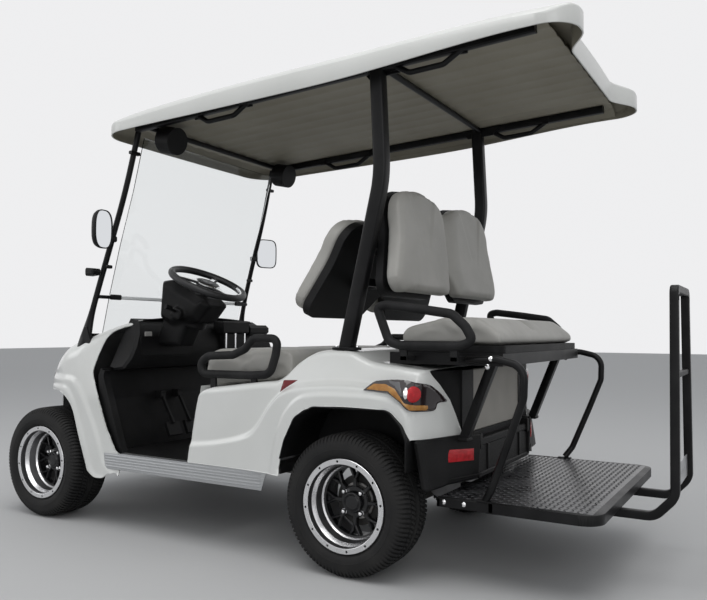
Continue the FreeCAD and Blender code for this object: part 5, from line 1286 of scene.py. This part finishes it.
canopy = new_piece("canopy", roof_points, roof_faces, [roof_cream, ceiling_grey], None, 60.0)
if sum(p.normal.z * p.area for p in canopy.data.polygons) < 0:
    canopy.data.flip_normals()
sheet = canopy.modifiers.new("sheet", "SOLIDIFY")
sheet.thickness = 0.005
sheet.offset = -1.0
sheet.material_offset = 1
break_edges(canopy, 0.0016, 3, 50)
fit(canopy, "chassis", "white_roof", "roof_canopy")

# Ceiling: a beige-grey corrugated panel, formed from one sheet, that lies on the rails under the canopy. A small
# black stud stands on top of the canopy.
dress("roof_ceiling", ceiling_grey, 0.0015)
stud_y = 0.880
stud_part = moved_by(turned_up([(0.0, -0.004), (0.020, -0.004), (0.020, 0.002), (0.012, 0.006), (0.010, 0.0085),
                                (0.0, 0.0095)], 24), (0.30, stud_y, roof_height(0.30, stud_y)))
made("canopy_stud", stud_part, [black_plastic], "black_plastic")

# Seat pads: foam cushions and backs under a grained grey vinyl, each with two lobes, pulled down on a black
# moulded base. They are cut a little small, blown up as cloth to a full shape, and creased along their seams.
vinyl = new_finish("grey vinyl", (0.375, 0.366, 0.342), 0.5)
tint(vinyl, texture(vinyl, "Noise", 5.0, 5.0), (0.345, 0.336, 0.312), (0.405, 0.396, 0.37), 0.35, 0.7)
vary_gloss(vinyl, 30.0, 0.42, 0.6)
vinyl_grain = texture(vinyl, "Voronoi", 520.0)
vinyl_grain.node.feature = "DISTANCE_TO_EDGE"
vinyl_relief = relief(vinyl, texture(vinyl, "Noise", 16.0, 2.0), 0.004, 0.25)
relief(vinyl, vinyl_grain, 0.0005, 0.35, vinyl_relief)


def rounded(corners, arc_steps=6):
    """A closed outline of (u, v, corner radius) with its corners drawn as arcs."""
    points = []
    count = len(corners)
    for i in range(count):
        u, v, radius = corners[i]
        here = Vector((u, v))
        to_last = Vector(corners[i - 1][:2]) - here
        to_next = Vector(corners[(i + 1) % count][:2]) - here
        if radius <= 0:
            points.append(here)
            continue
        turn = to_last.angle(to_next)
        if math.pi - turn < 1e-3:
            points.append(here)
            continue
        back = radius / math.tan(turn / 2)
        start = here + to_last.normalized() * back
        centre = here + (to_last.normalized() + to_next.normalized()).normalized() * (radius / math.sin(turn / 2))
        first = start - centre
        last = here + to_next.normalized() * back - centre
        swing = first.angle_signed(last)
        for step in range(arc_steps + 1):
            share = step / arc_steps * swing
            c, s = math.cos(-share), math.sin(-share)
            points.append(centre + Vector((first.x * c - first.y * s, first.x * s + first.y * c)))
    return [(p.x, p.y) for p in points]


foam_pressure = 4.0
swell_frames = 15


def stuffed(name, mesh, voxel, swell, finish, smooth_steps=14):
    """Foam under a stretched cover: remesh, ease the edges, blow it up as cloth and cap how far a point moves."""
    piece = remeshed(name, mesh, voxel, smooth_steps)
    rest = [v.co.copy() for v in piece.data.vertices]
    cloth = piece.modifiers.new("cover", "CLOTH")
    cloth.settings.use_pressure = True
    cloth.settings.uniform_pressure_force = foam_pressure
    cloth.settings.effector_weights.gravity = 0.0
    cloth.settings.quality = 4
    cloth.point_cache.frame_start = 1
    cloth.point_cache.frame_end = 20
    for step in range(1, swell_frames + 1):
        bpy.context.scene.frame_set(step)
    applied(piece)
    bpy.context.scene.frame_set(1)
    for vertex, start in zip(piece.data.vertices, rest):
        travel = vertex.co - start
        if travel.length > swell:
            vertex.co = start + travel.normalized() * swell
    ease_out(piece, 3)
    piece.data.materials.append(finish)
    piece.data.shade_smooth()
    return piece


back_height = 0.434
back_thick = 0.074
pad_voxel = 0.0075
back_outline = [
    (-0.538, 0.006, 0.055), (-0.052, 0.004, 0.030), (0.0, 0.118, 0.012), (0.052, 0.004, 0.030), (0.538, 0.006, 0.055),
    (0.464, 0.238, 0.30), (0.456, 0.398, 0.11), (0.250, 0.428, 0.18), (0.110, 0.408, 0.06), (0.0, 0.362, 0.05),
    (-0.110, 0.408, 0.06), (-0.250, 0.428, 0.18), (-0.456, 0.398, 0.11), (-0.464, 0.238, 0.30)]


def back_shape(x, h, depth):
    """Depth of the pad's face at a place: lobes crown, the middle folds in, a tapering dish runs down each lobe."""
    lobe = abs(x)
    valley = 0.026 * math.exp(-((lobe / 0.040) ** 2)) * soft_step(h, 0.02, 0.16)
    crown = 0.010 * (1 - ((lobe - 0.26) / 0.28) ** 2) * (1 - ((h - 0.2) / 0.26) ** 2)
    inner = 0.130 + 0.110 * (0.39 - h) / 0.30
    outer = 0.365 - 0.100 * (0.39 - h) / 0.30
    dish = 0.0085 * soft_step(lobe, inner - 0.004, inner + 0.016) * (1 - soft_step(lobe, outer - 0.010, outer + 0.004))
    dish *= soft_step(h, 0.09, 0.20) * (1 - soft_step(h, 0.36, 0.42))
    return depth - valley + crown - dish


def place_back(piece, base_y, base_z, lean, facing):
    """Lean a back, made standing up, onto its line; facing is -1 for the front bench, 1 for the rear one."""
    for vertex in piece.data.vertices:
        x, depth, height = vertex.co
        y = depth * facing
        vertex.co = (x, base_y + y * math.cos(lean) + height * math.sin(lean),
                     base_z - y * math.sin(lean) + height * math.cos(lean))


seat_lines = {
    "front": (0.203, 0.940, math.atan2(0.176, 0.390), -1, math.hypot(0.176, 0.390), "front_seat_back"),
    "rear": (0.575, 1.006, math.atan2(-0.050, 0.434), 1, 0.438, "rear_seat_back"),
}
for bench, (base_y, base_z, lean, facing, height, stands_for) in seat_lines.items():
    pad_mesh = mesh_of("back_pad", *slab_of(rounded(back_outline), 0.010, back_thick - 0.014, "y"))
    pad = stuffed("seat_back_" + bench, pad_mesh, pad_voxel, 0.009, vinyl)
    stretch = height / back_height
    for vertex in pad.data.vertices:
        x, depth, h = vertex.co
        if depth > 0.03:
            share = soft_step(depth, 0.03, 0.055)
            depth = depth + (back_shape(x, h, depth) - depth) * share
        vertex.co = (x, max(0.001, min(depth, back_thick - 0.001)), h * stretch)
    place_back(pad, base_y, base_z, lean, facing)
    fit(pad, "chassis", "seat_vinyl", stands_for)

# Seat cushions: the front one lies on the seat base, the rear one climbs from a low front to a crest and folds up
# with its pan. Both are two-lobed, the cover drawn down along the middle.
cushion_sides = {
    "front": ([(-0.229, 0.646, 0.02), (-0.280, 0.690, 0.03), (-0.273, 0.790, 0.045), (0.115, 0.798, 0.03),
               (0.175, 0.786, 0.03), (0.176, 0.704, 0.01), (0.055, 0.672, 0.0)], 0.532, "chassis",
              "front_seat_cushion"),
    "rear": ([(0.623, 0.829, 0.012), (0.620, 0.880, 0.03), (0.806, 0.922, 0.20), (0.930, 0.916, 0.05),
              (1.008, 0.856, 0.02), (1.008, 0.829, 0.008)], 0.480, "rear_seat", "rear_seat_cushion"),
}
for bench, (outline, half, body, stands_for) in cushion_sides.items():
    inset = 0.007
    pad_mesh = mesh_of("cushion_pad", *slab_of(rounded(outline), -half + inset, half - inset, "x"))
    pad = stuffed("seat_cushion_" + bench, pad_mesh, pad_voxel, 0.007, vinyl)
    lows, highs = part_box(stands_for)
    for vertex in pad.data.vertices:
        x, y, z = vertex.co
        top = soft_step(z, lows[2] + 0.05, highs[2] - 0.02)
        valley = 0.016 * math.exp(-((x / 0.030) ** 2)) * top
        z -= valley
        vertex.co = (max(lows[0], min(highs[0], x)), max(lows[1], min(highs[1], y)), max(lows[2], min(highs[2], z)))
    fit(pad, body, "seat_vinyl", stands_for)

# Rear seat's carrier: a welded box-tube frame with braces, the black pan that the cushion folds up with, and the
# cross tubes with flat arms that hold both backs.
dress("seat_back_frame", frame_black, 0.003)


def trimmed(node, name, plane_z, keep_below):
    """A new piece in the shape of a CAD piece, cut off level at a height and closed there."""
    cut = bmesh.new()
    cut.from_mesh(nodes[node].data)
    bmesh.ops.remove_doubles(cut, verts=cut.verts, dist=0.00002)
    bmesh.ops.bisect_plane(cut, geom=cut.verts[:] + cut.edges[:] + cut.faces[:], plane_co=(0, 0, plane_z),
                           plane_no=(0, 0, 1), clear_inner=not keep_below, clear_outer=keep_below)
    bmesh.ops.holes_fill(cut, edges=[e for e in cut.edges if e.is_boundary])
    mesh = bpy.data.meshes.new(name)
    cut.to_mesh(mesh)
    cut.free()
    mesh.materials.clear()
    mesh.materials.append(frame_black)
    mesh.polygons.foreach_set("material_index", [0] * len(mesh.polygons))
    mesh.shade_smooth()
    mesh.set_sharp_from_angle(angle=math.radians(35))
    piece = placed(name, mesh)
    break_edges(piece, 0.0025, 2, 35)
    return piece


carrier = trimmed("seat_support_frame", "seat_carrier", 0.496, False)
fit(carrier, "chassis", "frame_black", "seat_support_frame")
dress("rear_seat_pan", black_plastic, 0.004)
dress("seat_shells", black_plastic, 0.006)

# Armrests: closed loops beside both benches, soft black foam skin over bent steel tube. Each is welded to flat
# feet that are screwed to the seat base and to the rear seat's frame.
foam_black = new_finish("black foam skin", (0.012, 0.012, 0.0125), 0.6, Specular_IOR_Level=0.22)
relief(foam_black, texture(foam_black, "Voronoi", 1100.0), 0.0006, 0.5)
tint(foam_black, texture(foam_black, "Noise", 12.0, 5.0), (0.008, 0.008, 0.0085), (0.020, 0.020, 0.0205), 0.4, 0.75)
arm_tube_r = 0.0165
front_arm = [(-0.247, 0.696), (-0.259, 0.742), (-0.215, 0.770), (-0.085, 0.776), (-0.025, 0.800), (0.020, 0.845),
             (0.140, 0.844), (0.129, 0.780), (0.103, 0.704), (0.005, 0.697)]
rear_arm = [(0.575, 0.962), (0.625, 0.836), (0.671, 0.825), (0.895, 0.825), (0.945, 0.842), (0.915, 0.892),
            (0.867, 0.934), (0.745, 0.952), (0.615, 0.968)]
arm_parts = []
for x, line, feet in ((0.573, front_arm, ((-0.185, 0.640, 0.700), (0.025, 0.656, 0.700))),
                      (0.566, rear_arm, ((0.685, 0.772, 0.820), (0.875, 0.772, 0.820)))):
    path = bent_path([(x, y, z) for y, z in line], 0.045, True, 6)
    arm_parts.append(swept(path, circle(arm_tube_r, 16), (1, 0, 0), True))
    for y, low, high in feet:
        arm_parts.append(brick(x - 0.006, x + 0.006, y - 0.013, y + 0.013, low, high))
        if low > 0.7:
            arm_parts.append(brick(0.5003, x + 0.006, y - 0.012, y + 0.012, low, low + 0.016))
made("armrest_loops", both_sides(join(*arm_parts)), [foam_black], "arm_pad", "armrests")

# Step: a black steel frame under a dark tread plate with raised diamonds, which runs forward under the bumper. Two
# bolts a side hold it to the arms from the chassis.
step_frame = trimmed("footplate", "footplate_frame", 0.3008, True)
fit(step_frame, "chassis", "frame_black", "footplate")
tread = new_finish("dark tread plate", (0.06, 0.06, 0.064), 0.24, 0.55)
tread_film = texture(tread, "Noise", 14.0, 5.0)
tint(tread, tread_film, (0.032, 0.032, 0.034), (0.085, 0.085, 0.09), 0.35, 0.7)
vary_gloss(tread, tread_film, 0.16, 0.42)
relief(tread, 300.0, 0.0004, 0.3)
tread_front, tread_back, tread_half = 0.792, 1.312, 0.490
tread_top = 0.3010
tread_parts = [brick(-tread_half, tread_half, tread_front, tread_back, 0.2985, tread_top, 0.0008)]
lozenge_pitch, lozenge_count = 0.021, 47
row_pitch = lozenge_pitch * 1.04
lozenge_rows = int((tread_back - tread_front - 0.012) / row_pitch)
for i in range(lozenge_count):
    for j in range(lozenge_rows):
        x, y = -0.483 + i * lozenge_pitch, tread_front + 0.014 + j * row_pitch
        turn = Matrix.Rotation(math.radians(45 if (i + j) % 2 else -45), 3, "Z")
        lozenge = ([(-0.0098, 0, 0), (0, -0.0030, 0), (0.0098, 0, 0), (0, 0.0030, 0), (-0.0050, 0, 0.0016),
                    (0.0050, 0, 0.0016)], [(0, 1, 4), (1, 5, 4), (1, 2, 5), (2, 3, 5), (3, 4, 5), (3, 0, 4)])
        tread_parts.append(moved_by(lozenge, (x, y, tread_top), turn))
made("tread_plate", join(*tread_parts), [tread], "frame_black", flat_above=20.0)
round_head = turned_up([(0.0, 0.0), (0.0085, 0.0), (0.0085, 0.002), (0.0060, 0.0042), (0.0, 0.0050)], 20)


def side_bolt(x, y, z):
    """A bolt head that faces outward on the left side."""
    return moved_by(([(c, a, b) for a, b, c in round_head[0]], round_head[1]), (x, y, z)) + (1,)


step_rail = join(brick(0.499, 0.512, tread_front - 0.004, 0.9885, 0.268, 0.3015, 0.002) + (0,),
                 brick(0.0, 0.512, tread_front - 0.006, tread_front + 0.004, 0.268, 0.2985, 0.002) + (0,),
                 side_bolt(0.5118, 0.812, 0.286), side_bolt(0.5118, 0.886, 0.286))
made("step_rails", both_sides(step_rail), [frame_black, chrome], "frame_black")

# Side bars and grab bar: bent round tube on both sides of the rear seat, and a box-tube hoop with a rung behind the
# step. Steel, welded and powder coated; a bare plate bracket sits at the hoop's foot.
side_bar = [(0.520, 0.905, 0.778), (0.556, 1.020, 0.784), (0.558, 1.116, 0.762), (0.558, 1.112, 0.660),
            (0.545, 1.062, 0.530), (0.522, 0.990, 0.350), (0.500, 0.962, 0.309)]
side_set = both_sides(join(
    swept(bent_path(side_bar, 0.055, arc_steps=9), circle(0.013, 18), (1, 0, 0)) + (0,),
    swept([Vector((0.5003, 0.925, 0.780)), Vector((0.526, 0.925, 0.780))], circle(0.009, 12)) + (0,),
    brick(0.488, 0.513, 0.932, 0.988, 0.3005, 0.3065, 0.001) + (0,),
    side_bolt(0.5615, 1.003, 0.785), side_bolt(0.5005, 0.968, 0.755)))
made("side_bars", side_set, [frame_black, chrome], "frame_black", "step_side_bars")

tail = rear_axle + 1.055
grab_y = tail - 0.015
grab_foot_x, grab_foot_z, grab_top_x, grab_top_z = 0.190, 0.2507, 0.150, 1.025
grab_tube = box_ring(0.030, 0.030, 0.005)
grab_parts = []
for side in (1, -1):
    path = bent_path([(side * grab_foot_x, 0.985, grab_foot_z), (side * grab_foot_x, grab_y - 0.066, grab_foot_z),
                      (side * grab_foot_x, grab_y, grab_foot_z + 0.07),
                      (side * grab_top_x, grab_y, grab_top_z - 0.020)], 0.06, arc_steps=8)
    grab_parts.append(swept(path, grab_tube, (1, 0, 0)))
top_path = bent_path([(0.1515, grab_y, 0.985), (grab_top_x, grab_y, grab_top_z), (-grab_top_x, grab_y, grab_top_z),
                      (-0.1515, grab_y, 0.985)], 0.032, arc_steps=8)
grab_parts.append(swept(top_path, grab_tube, (0, 1, 0)))
grab_parts.append(brick(-0.163, 0.163, grab_y - 0.009, grab_y + 0.009, 0.718, 0.738, 0.003))
made("grab_bar_tube", join(*grab_parts), [frame_black], "frame_black", "grab_bar")
bare_silver = new_finish("bare bracket", (0.55, 0.56, 0.57), 0.36, 0.9)
tint(bare_silver, 35.0, (0.47, 0.48, 0.49), (0.60, 0.61, 0.62))
dress("plate_bracket", bare_silver, 0.0008)

# Rear bumper: a black moulding in three parts. A deep block wraps each corner and carries a red reflector; the middle
# is set back between them, with a rail along its foot and a sunk panel under its top edge.
block_plan = [(0.614, 0.744), (0.616, 0.757), (0.600, 0.771), (0.527, 0.7945), (0.460, 0.8165), (0.302, 0.8670),
              (0.293, 0.8640), (0.290, 0.8450), (0.290, 0.8000), (0.450, 0.7640), (0.560, 0.7420)]
block_low, block_high = 0.333, 0.503
block = slab_of(block_plan, block_low, block_high, "z", 0.009)
leaned = []
for x, y, z in block[0]:
    drop = (block_high - z) / (block_high - block_low)
    nose = soft_step(x, 0.42, 0.60)
    leaned.append((x - 0.010 * drop * nose, y + 0.030 * drop * nose - 0.010 * drop * (1 - nose), z))
groove_plan = [(0.6145, 0.7600), (0.5985, 0.7745), (0.5270, 0.7975), (0.4600, 0.8195), (0.3000, 0.8700),
               (0.3000, 0.8300), (0.5600, 0.7500)]
middle = [
    brick(0.0, 0.2895, 0.800, 0.8500, 0.336, 0.474, 0.006),
    brick(0.0, 0.2880, 0.840, 0.8560, 0.333, 0.352, 0.004),
    brick(0.0, 0.2860, 0.842, 0.8550, 0.448, 0.476, 0.004),
    brick(0.176, 0.196, 0.842, 0.8550, 0.352, 0.450, 0.004),
    brick(0.268, 0.2890, 0.800, 0.8620, 0.440, 0.498, 0.005),
    brick(0.376, 0.424, 0.800, 0.8640, 0.484, 0.4965, 0.003)]
bumper_parts = [(leaned, block[1]), slab_of(groove_plan, 0.352, 0.356, "z", 0.001)] + middle
bumper = made("tail_bumper", both_sides(join(*bumper_parts)), [black_plastic], "black_plastic", "rear_bumper",
              flat_above=40.0)
break_edges(bumper, 0.003, 3, 28)

# Tail panel: a beige-grey sheet with black wings that close the gap to the fenders' fins. Moulded plastic, clipped
# to the rear deck.
bay_set = both_sides(join(
    brick(0.0, 0.2615, 0.7960, 0.8200, 0.500, 0.7335, 0.004) + (1,),
    brick(0.2620, 0.3700, 0.7960, 0.8225, 0.440, 0.7345, 0.002) + (0,),
    brick(0.0, 0.2620, 0.7960, 0.8170, 0.440, 0.4990, 0.001) + (0,),
    slab_of([(0.368, 0.796), (0.370, 0.8165), (0.378, 0.8140), (0.500, 0.7740), (0.560, 0.7480), (0.545, 0.7400),
             (0.480, 0.7640)], 0.440, 0.7345, "z", 0.001) + (0,)))
made("tail_panel", bay_set, [black_plastic, panel_grey], "panel_grey", "rear_panel")

# Tail lamps: one smoked lens a side wraps the fender's corner. An amber strip runs along its lower edge, with a round
# red lamp and bright reflector bits behind it; a chrome oval beside the red lamp is a painted highlight on its lens.
# The red reflectors on the bumper and the skirt's markers are the same.


lamp_half, lamp_lean, lens_stand = 0.6440, 0.034, 0.0015


def lamp_side(y, z):
    return tail_x(y, lamp_half - lamp_lean * soft_step(z, 0.655, 0.735)) + lens_stand


def bumper_face(y, z):
    """The corner block's sloping rear face, lengthened to a surface over (place along the cart, height)."""
    return 0.600 - (y - 0.7710) * tail_slope


def lens_patch(outline, surface, lift, depth, grid_y, grid_z, finish_at=0):
    """A lens cut to an outline of (y, z) points from a curved surface, lifted off it and closed at its back."""
    flat = bmesh.new()
    flat.faces.new([flat.verts.new((0.0, y, z)) for y, z in outline])
    for axis, step in ((1, grid_y), (2, grid_z)):
        low = min(p[axis - 1] for p in outline)
        high = max(p[axis - 1] for p in outline)
        for k in range(1, int((high - low) / step) + 1):
            plane = [0.0, 0.0, 0.0]
            plane[axis] = low + k * step
            normal = [0.0, 0.0, 0.0]
            normal[axis] = 1.0
            bmesh.ops.bisect_plane(flat, geom=flat.verts[:] + flat.edges[:] + flat.faces[:], plane_co=plane,
                                   plane_no=normal, dist=1e-6)
    flat.verts.index_update()
    outer, inner = [], []
    edge_verts = {v.index for e in flat.edges if len(e.link_faces) == 1 for v in e.verts}
    for v in flat.verts:
        y, z = v.co.y, v.co.z
        d = 0.0015
        slope_y = (surface(y + d, z) - surface(y - d, z)) / (2 * d)
        slope_z = (surface(y, z + d) - surface(y, z - d)) / (2 * d)
        out = Vector((1.0, -slope_y, -slope_z)).normalized()
        at = Vector((surface(y, z), y, z))
        outer.append(at + out * (lift - (0.0018 if v.index in edge_verts else 0.0)))
        inner.append(at + out * (lift - depth))
    size = len(outer)
    faces = [tuple(v.index for v in f.verts) for f in flat.faces]
    closed = faces + [tuple(size + i for i in reversed(f)) for f in faces]
    for e in flat.edges:
        if len(e.link_faces) == 1:
            a, b = e.verts[0].index, e.verts[1].index
            closed.append((a, b, size + b, size + a))
    flat.free()
    return outer + inner, closed, finish_at


lamp_smoke = new_finish("smoked lens", (0.018, 0.010, 0.011), 0.06, Coat_Weight=1.0)
vary_gloss(lamp_smoke, 30.0, 0.04, 0.12)
lamp_amber = new_finish("amber lens", (0.42, 0.19, 0.035), 0.16)
tint(lamp_amber, 60.0, (0.36, 0.15, 0.03), (0.50, 0.25, 0.06))
lamp_red = new_finish("red lens", (0.55, 0.012, 0.018), 0.16)
relief(lamp_red, texture(lamp_red, "Voronoi", 420.0), 0.0006, 0.5)
tint(lamp_red, 50.0, (0.42, 0.008, 0.012), (0.66, 0.02, 0.03))
marker_red = new_finish("dark red marker", (0.16, 0.006, 0.010), 0.15)
vary_gloss(marker_red, 40.0, 0.1, 0.22)
lamp_outline = eased([(0.566, 0.668), (0.604, 0.700), (0.683, 0.7075), (0.735, 0.7050), (0.772, 0.690),
                      (0.789, 0.656), (0.801, 0.6250), (0.783, 0.6265), (0.780, 0.5960), (0.7368, 0.6030),
                      (0.7137, 0.6310), (0.6632, 0.6640), (0.566, 0.668)], 0.012)[:-1]
amber_strip = [(0.576, 0.6705), (0.604, 0.6900), (0.650, 0.6900), (0.6900, 0.6760), (0.7120, 0.6540),
               (0.7260, 0.6320), (0.7450, 0.6240), (0.7680, 0.6190), (0.7680, 0.6020), (0.7385, 0.6065),
               (0.7165, 0.6335), (0.6645, 0.6675)]
grey_strip = [(0.660, 0.7015), (0.7020, 0.6990), (0.7160, 0.6700), (0.7200, 0.6500), (0.7060, 0.6680),
              (0.6860, 0.6840), (0.6600, 0.6950)]
red_lamp = circle(0.0125, 24, (0.7440, 0.6600), 0.0270)
# Painted highlight: a small chrome oval, lifted above the lens beside the red lamp, stands for a reflection on the red
# lens.
painted_glint = circle(0.0055, 16, (0.7290, 0.6640), 0.0190)
lamp_set = join(
    lens_patch(painted_glint, lamp_side, 0.0072, 0.003, 0.003, 0.006, 3),
    lens_patch(lamp_outline, lamp_side, 0.0050, 0.016, 0.004, 0.006, 0),
    lens_patch(amber_strip, lamp_side, 0.0066, 0.003, 0.004, 0.006, 1),
    lens_patch(grey_strip, lamp_side, 0.0064, 0.003, 0.004, 0.006, 4),
    lens_patch(red_lamp, lamp_side, 0.0085, 0.006, 0.003, 0.006, 2),
    *[lens_patch([(y, z), (y + 0.0035, z), (y + 0.0035, z + 0.008), (y, z + 0.008)], lamp_side, 0.0060, 0.003,
                 0.004, 0.012, 3) for y in (0.7645, 0.7690, 0.7735) for z in (0.6060, 0.6160)],
    lens_patch([(0.7920, 0.418), (0.8545, 0.408), (0.8545, 0.450), (0.7920, 0.463)], bumper_face, 0.0030, 0.006,
               0.008, 0.02, 2),
    lens_patch([(0.178, 0.6420), (0.252, 0.6890), (0.190, 0.6870)], rear_side_x, 0.0025, 0.004,
               0.01, 0.01, 5))
made("tail_lamp_lenses", both_sides(lamp_set), [lamp_smoke, lamp_amber, lamp_red, chrome, cap_grey, marker_red],
     "lamp_red", "taillights", flat_above=30.0)

# Headlights: one slim smoked lens a side lies on the cowl's skin, with a clear pane and three round lamps on it.
# Moulded acrylic on a case that is screwed to the cowl from inside.
lamp_clear = new_finish("clear head lens", (0.62, 0.64, 0.66), 0.12)
vary_gloss(lamp_clear, 30.0, 0.06, 0.2)
cowl_tree = BVHTree.FromPolygons([v.co for v in cowl.data.vertices], [p.vertices[:] for p in cowl.data.polygons])


well_in_front = -3.0
depth_beside_cowl = 1.35


def nose_depth(x, z):
    """How far the cowl's skin stands in front of the frame's origin at a place seen from the front."""
    hit = cowl_tree.ray_cast(Vector((x, well_in_front, z)), Vector((0, 1, 0)))[0]
    return -hit.y if hit else depth_beside_cowl


head_outline = eased([(0.196, 0.588), (0.330, 0.650), (0.480, 0.690), (0.520, 0.676), (0.500, 0.640), (0.330, 0.590),
                      (0.215, 0.556)], 0.014)
head_glass = eased([(0.222, 0.590), (0.335, 0.640), (0.470, 0.678), (0.500, 0.668), (0.484, 0.644), (0.330, 0.602),
                    (0.226, 0.571)], 0.010)
head_parts = [lens_patch(head_outline, nose_depth, 0.0040, 0.014, 0.012, 0.010, 0),
              lens_patch(head_glass, nose_depth, 0.0054, 0.003, 0.012, 0.010, 1)]
for *place, lamp_r in ((0.300, 0.6055, 0.0135), (0.365, 0.6335, 0.0165), (0.438, 0.6565, 0.0150)):
    head_parts.append(lens_patch(circle(lamp_r, 20, place), nose_depth, 0.0066, 0.003, 0.012, 0.010, 2))
    head_parts.append(lens_patch(circle(lamp_r * 0.7, 20, place), nose_depth, 0.0078, 0.003, 0.012, 0.010, 1))
head_set = join(*[([(y, -x, z) for x, y, z in part[0]], part[1], part[2]) for part in head_parts])
made("headlight_lenses", both_sides(head_set), [lamp_smoke, lamp_clear, chrome], "lamp_clear", "headlights",
     flat_above=30.0)

# Mirrors: rounded black housings on short arms from the windshield struts, toed in, their glass facing back. A small
# black marker lamp sits on the left strut below.
mirror_glass = new_finish("mirror glass", (0.80, 0.82, 0.84), 0.02, 1.0)
vary_gloss(mirror_glass, 12.0, 0.01, 0.035)
mirror_rings = ((-0.024, 0.040), (-0.022, 0.022), (-0.014, 0.008), (0.0, 0.001), (0.012, 0.0), (0.016, 0.001),
                (0.0165, 0.004), (0.0125, 0.0055))
mirror_count = 40
glass_depth, glass_crown = 0.0128, 0.0006
mirror_x, mirror_y, mirror_z = 0.601, -0.845, 1.333


def mirror_at(side, half_w, half_h, squareness, toe):
    """A housing and its glass. Its shape lies between an oval, 1, and a rectangle, 0."""
    def outline(inset):
        line = []
        for k in range(mirror_count):
            c, s = math.cos(2 * math.pi * k / mirror_count), math.sin(2 * math.pi * k / mirror_count)
            line.append(((half_w - inset) * math.copysign(abs(c) ** squareness, c),
                         (half_h - inset) * math.copysign(abs(s) ** squareness, s)))
        return line

    points = [(u, depth, v) for depth, inset in mirror_rings for u, v in outline(inset)]
    faces = walls(len(mirror_rings), mirror_count)
    faces.append(tuple(range(mirror_count - 1, -1, -1)))
    pane = [(u, glass_depth, v) for u, v in outline(0.0056)] + [(0.0, glass_depth + glass_crown, 0.0)]
    pane_faces = [(k, (k + 1) % mirror_count, mirror_count) for k in range(mirror_count)]
    turn = Matrix.Rotation(math.radians(toe * side), 3, "Z")
    centre = (side * mirror_x, mirror_y, mirror_z)
    return moved_by((points, faces, 0), centre, turn), moved_by((pane, pane_faces, 1), centre, turn)


mirror_arm = both_sides(join(
    swept(bent_path([(0.519, -0.868, 1.297), (0.545, -0.872, 1.300), (0.580, -0.862, 1.306)], 0.02),
          circle(0.0075, 12)),
    brick(0.505, 0.535, -0.886, -0.852, 1.284, 1.312, 0.005)))
mirror_set = join(*mirror_at(1, 0.058, 0.089, 0.70, 10), *mirror_at(-1, 0.066, 0.086, 0.48, 24),
                  mirror_arm[:2] + (0,))
made("mirror_housings", mirror_set, [black_plastic, mirror_glass], "black_plastic", "side_mirrors")
marker_set = join(
    slab_of([(-0.930, 1.122), (-0.884, 1.126), (-0.880, 1.140), (-0.886, 1.156), (-0.930, 1.160), (-0.936, 1.141)],
            0.566, 0.618, "x", 0.007),
    swept([Vector((0.527, -0.918, 1.140)), Vector((0.572, -0.912, 1.141))], circle(0.006, 12)))
made("strut_marker_lamp", marker_set, [black_plastic], "black_plastic")
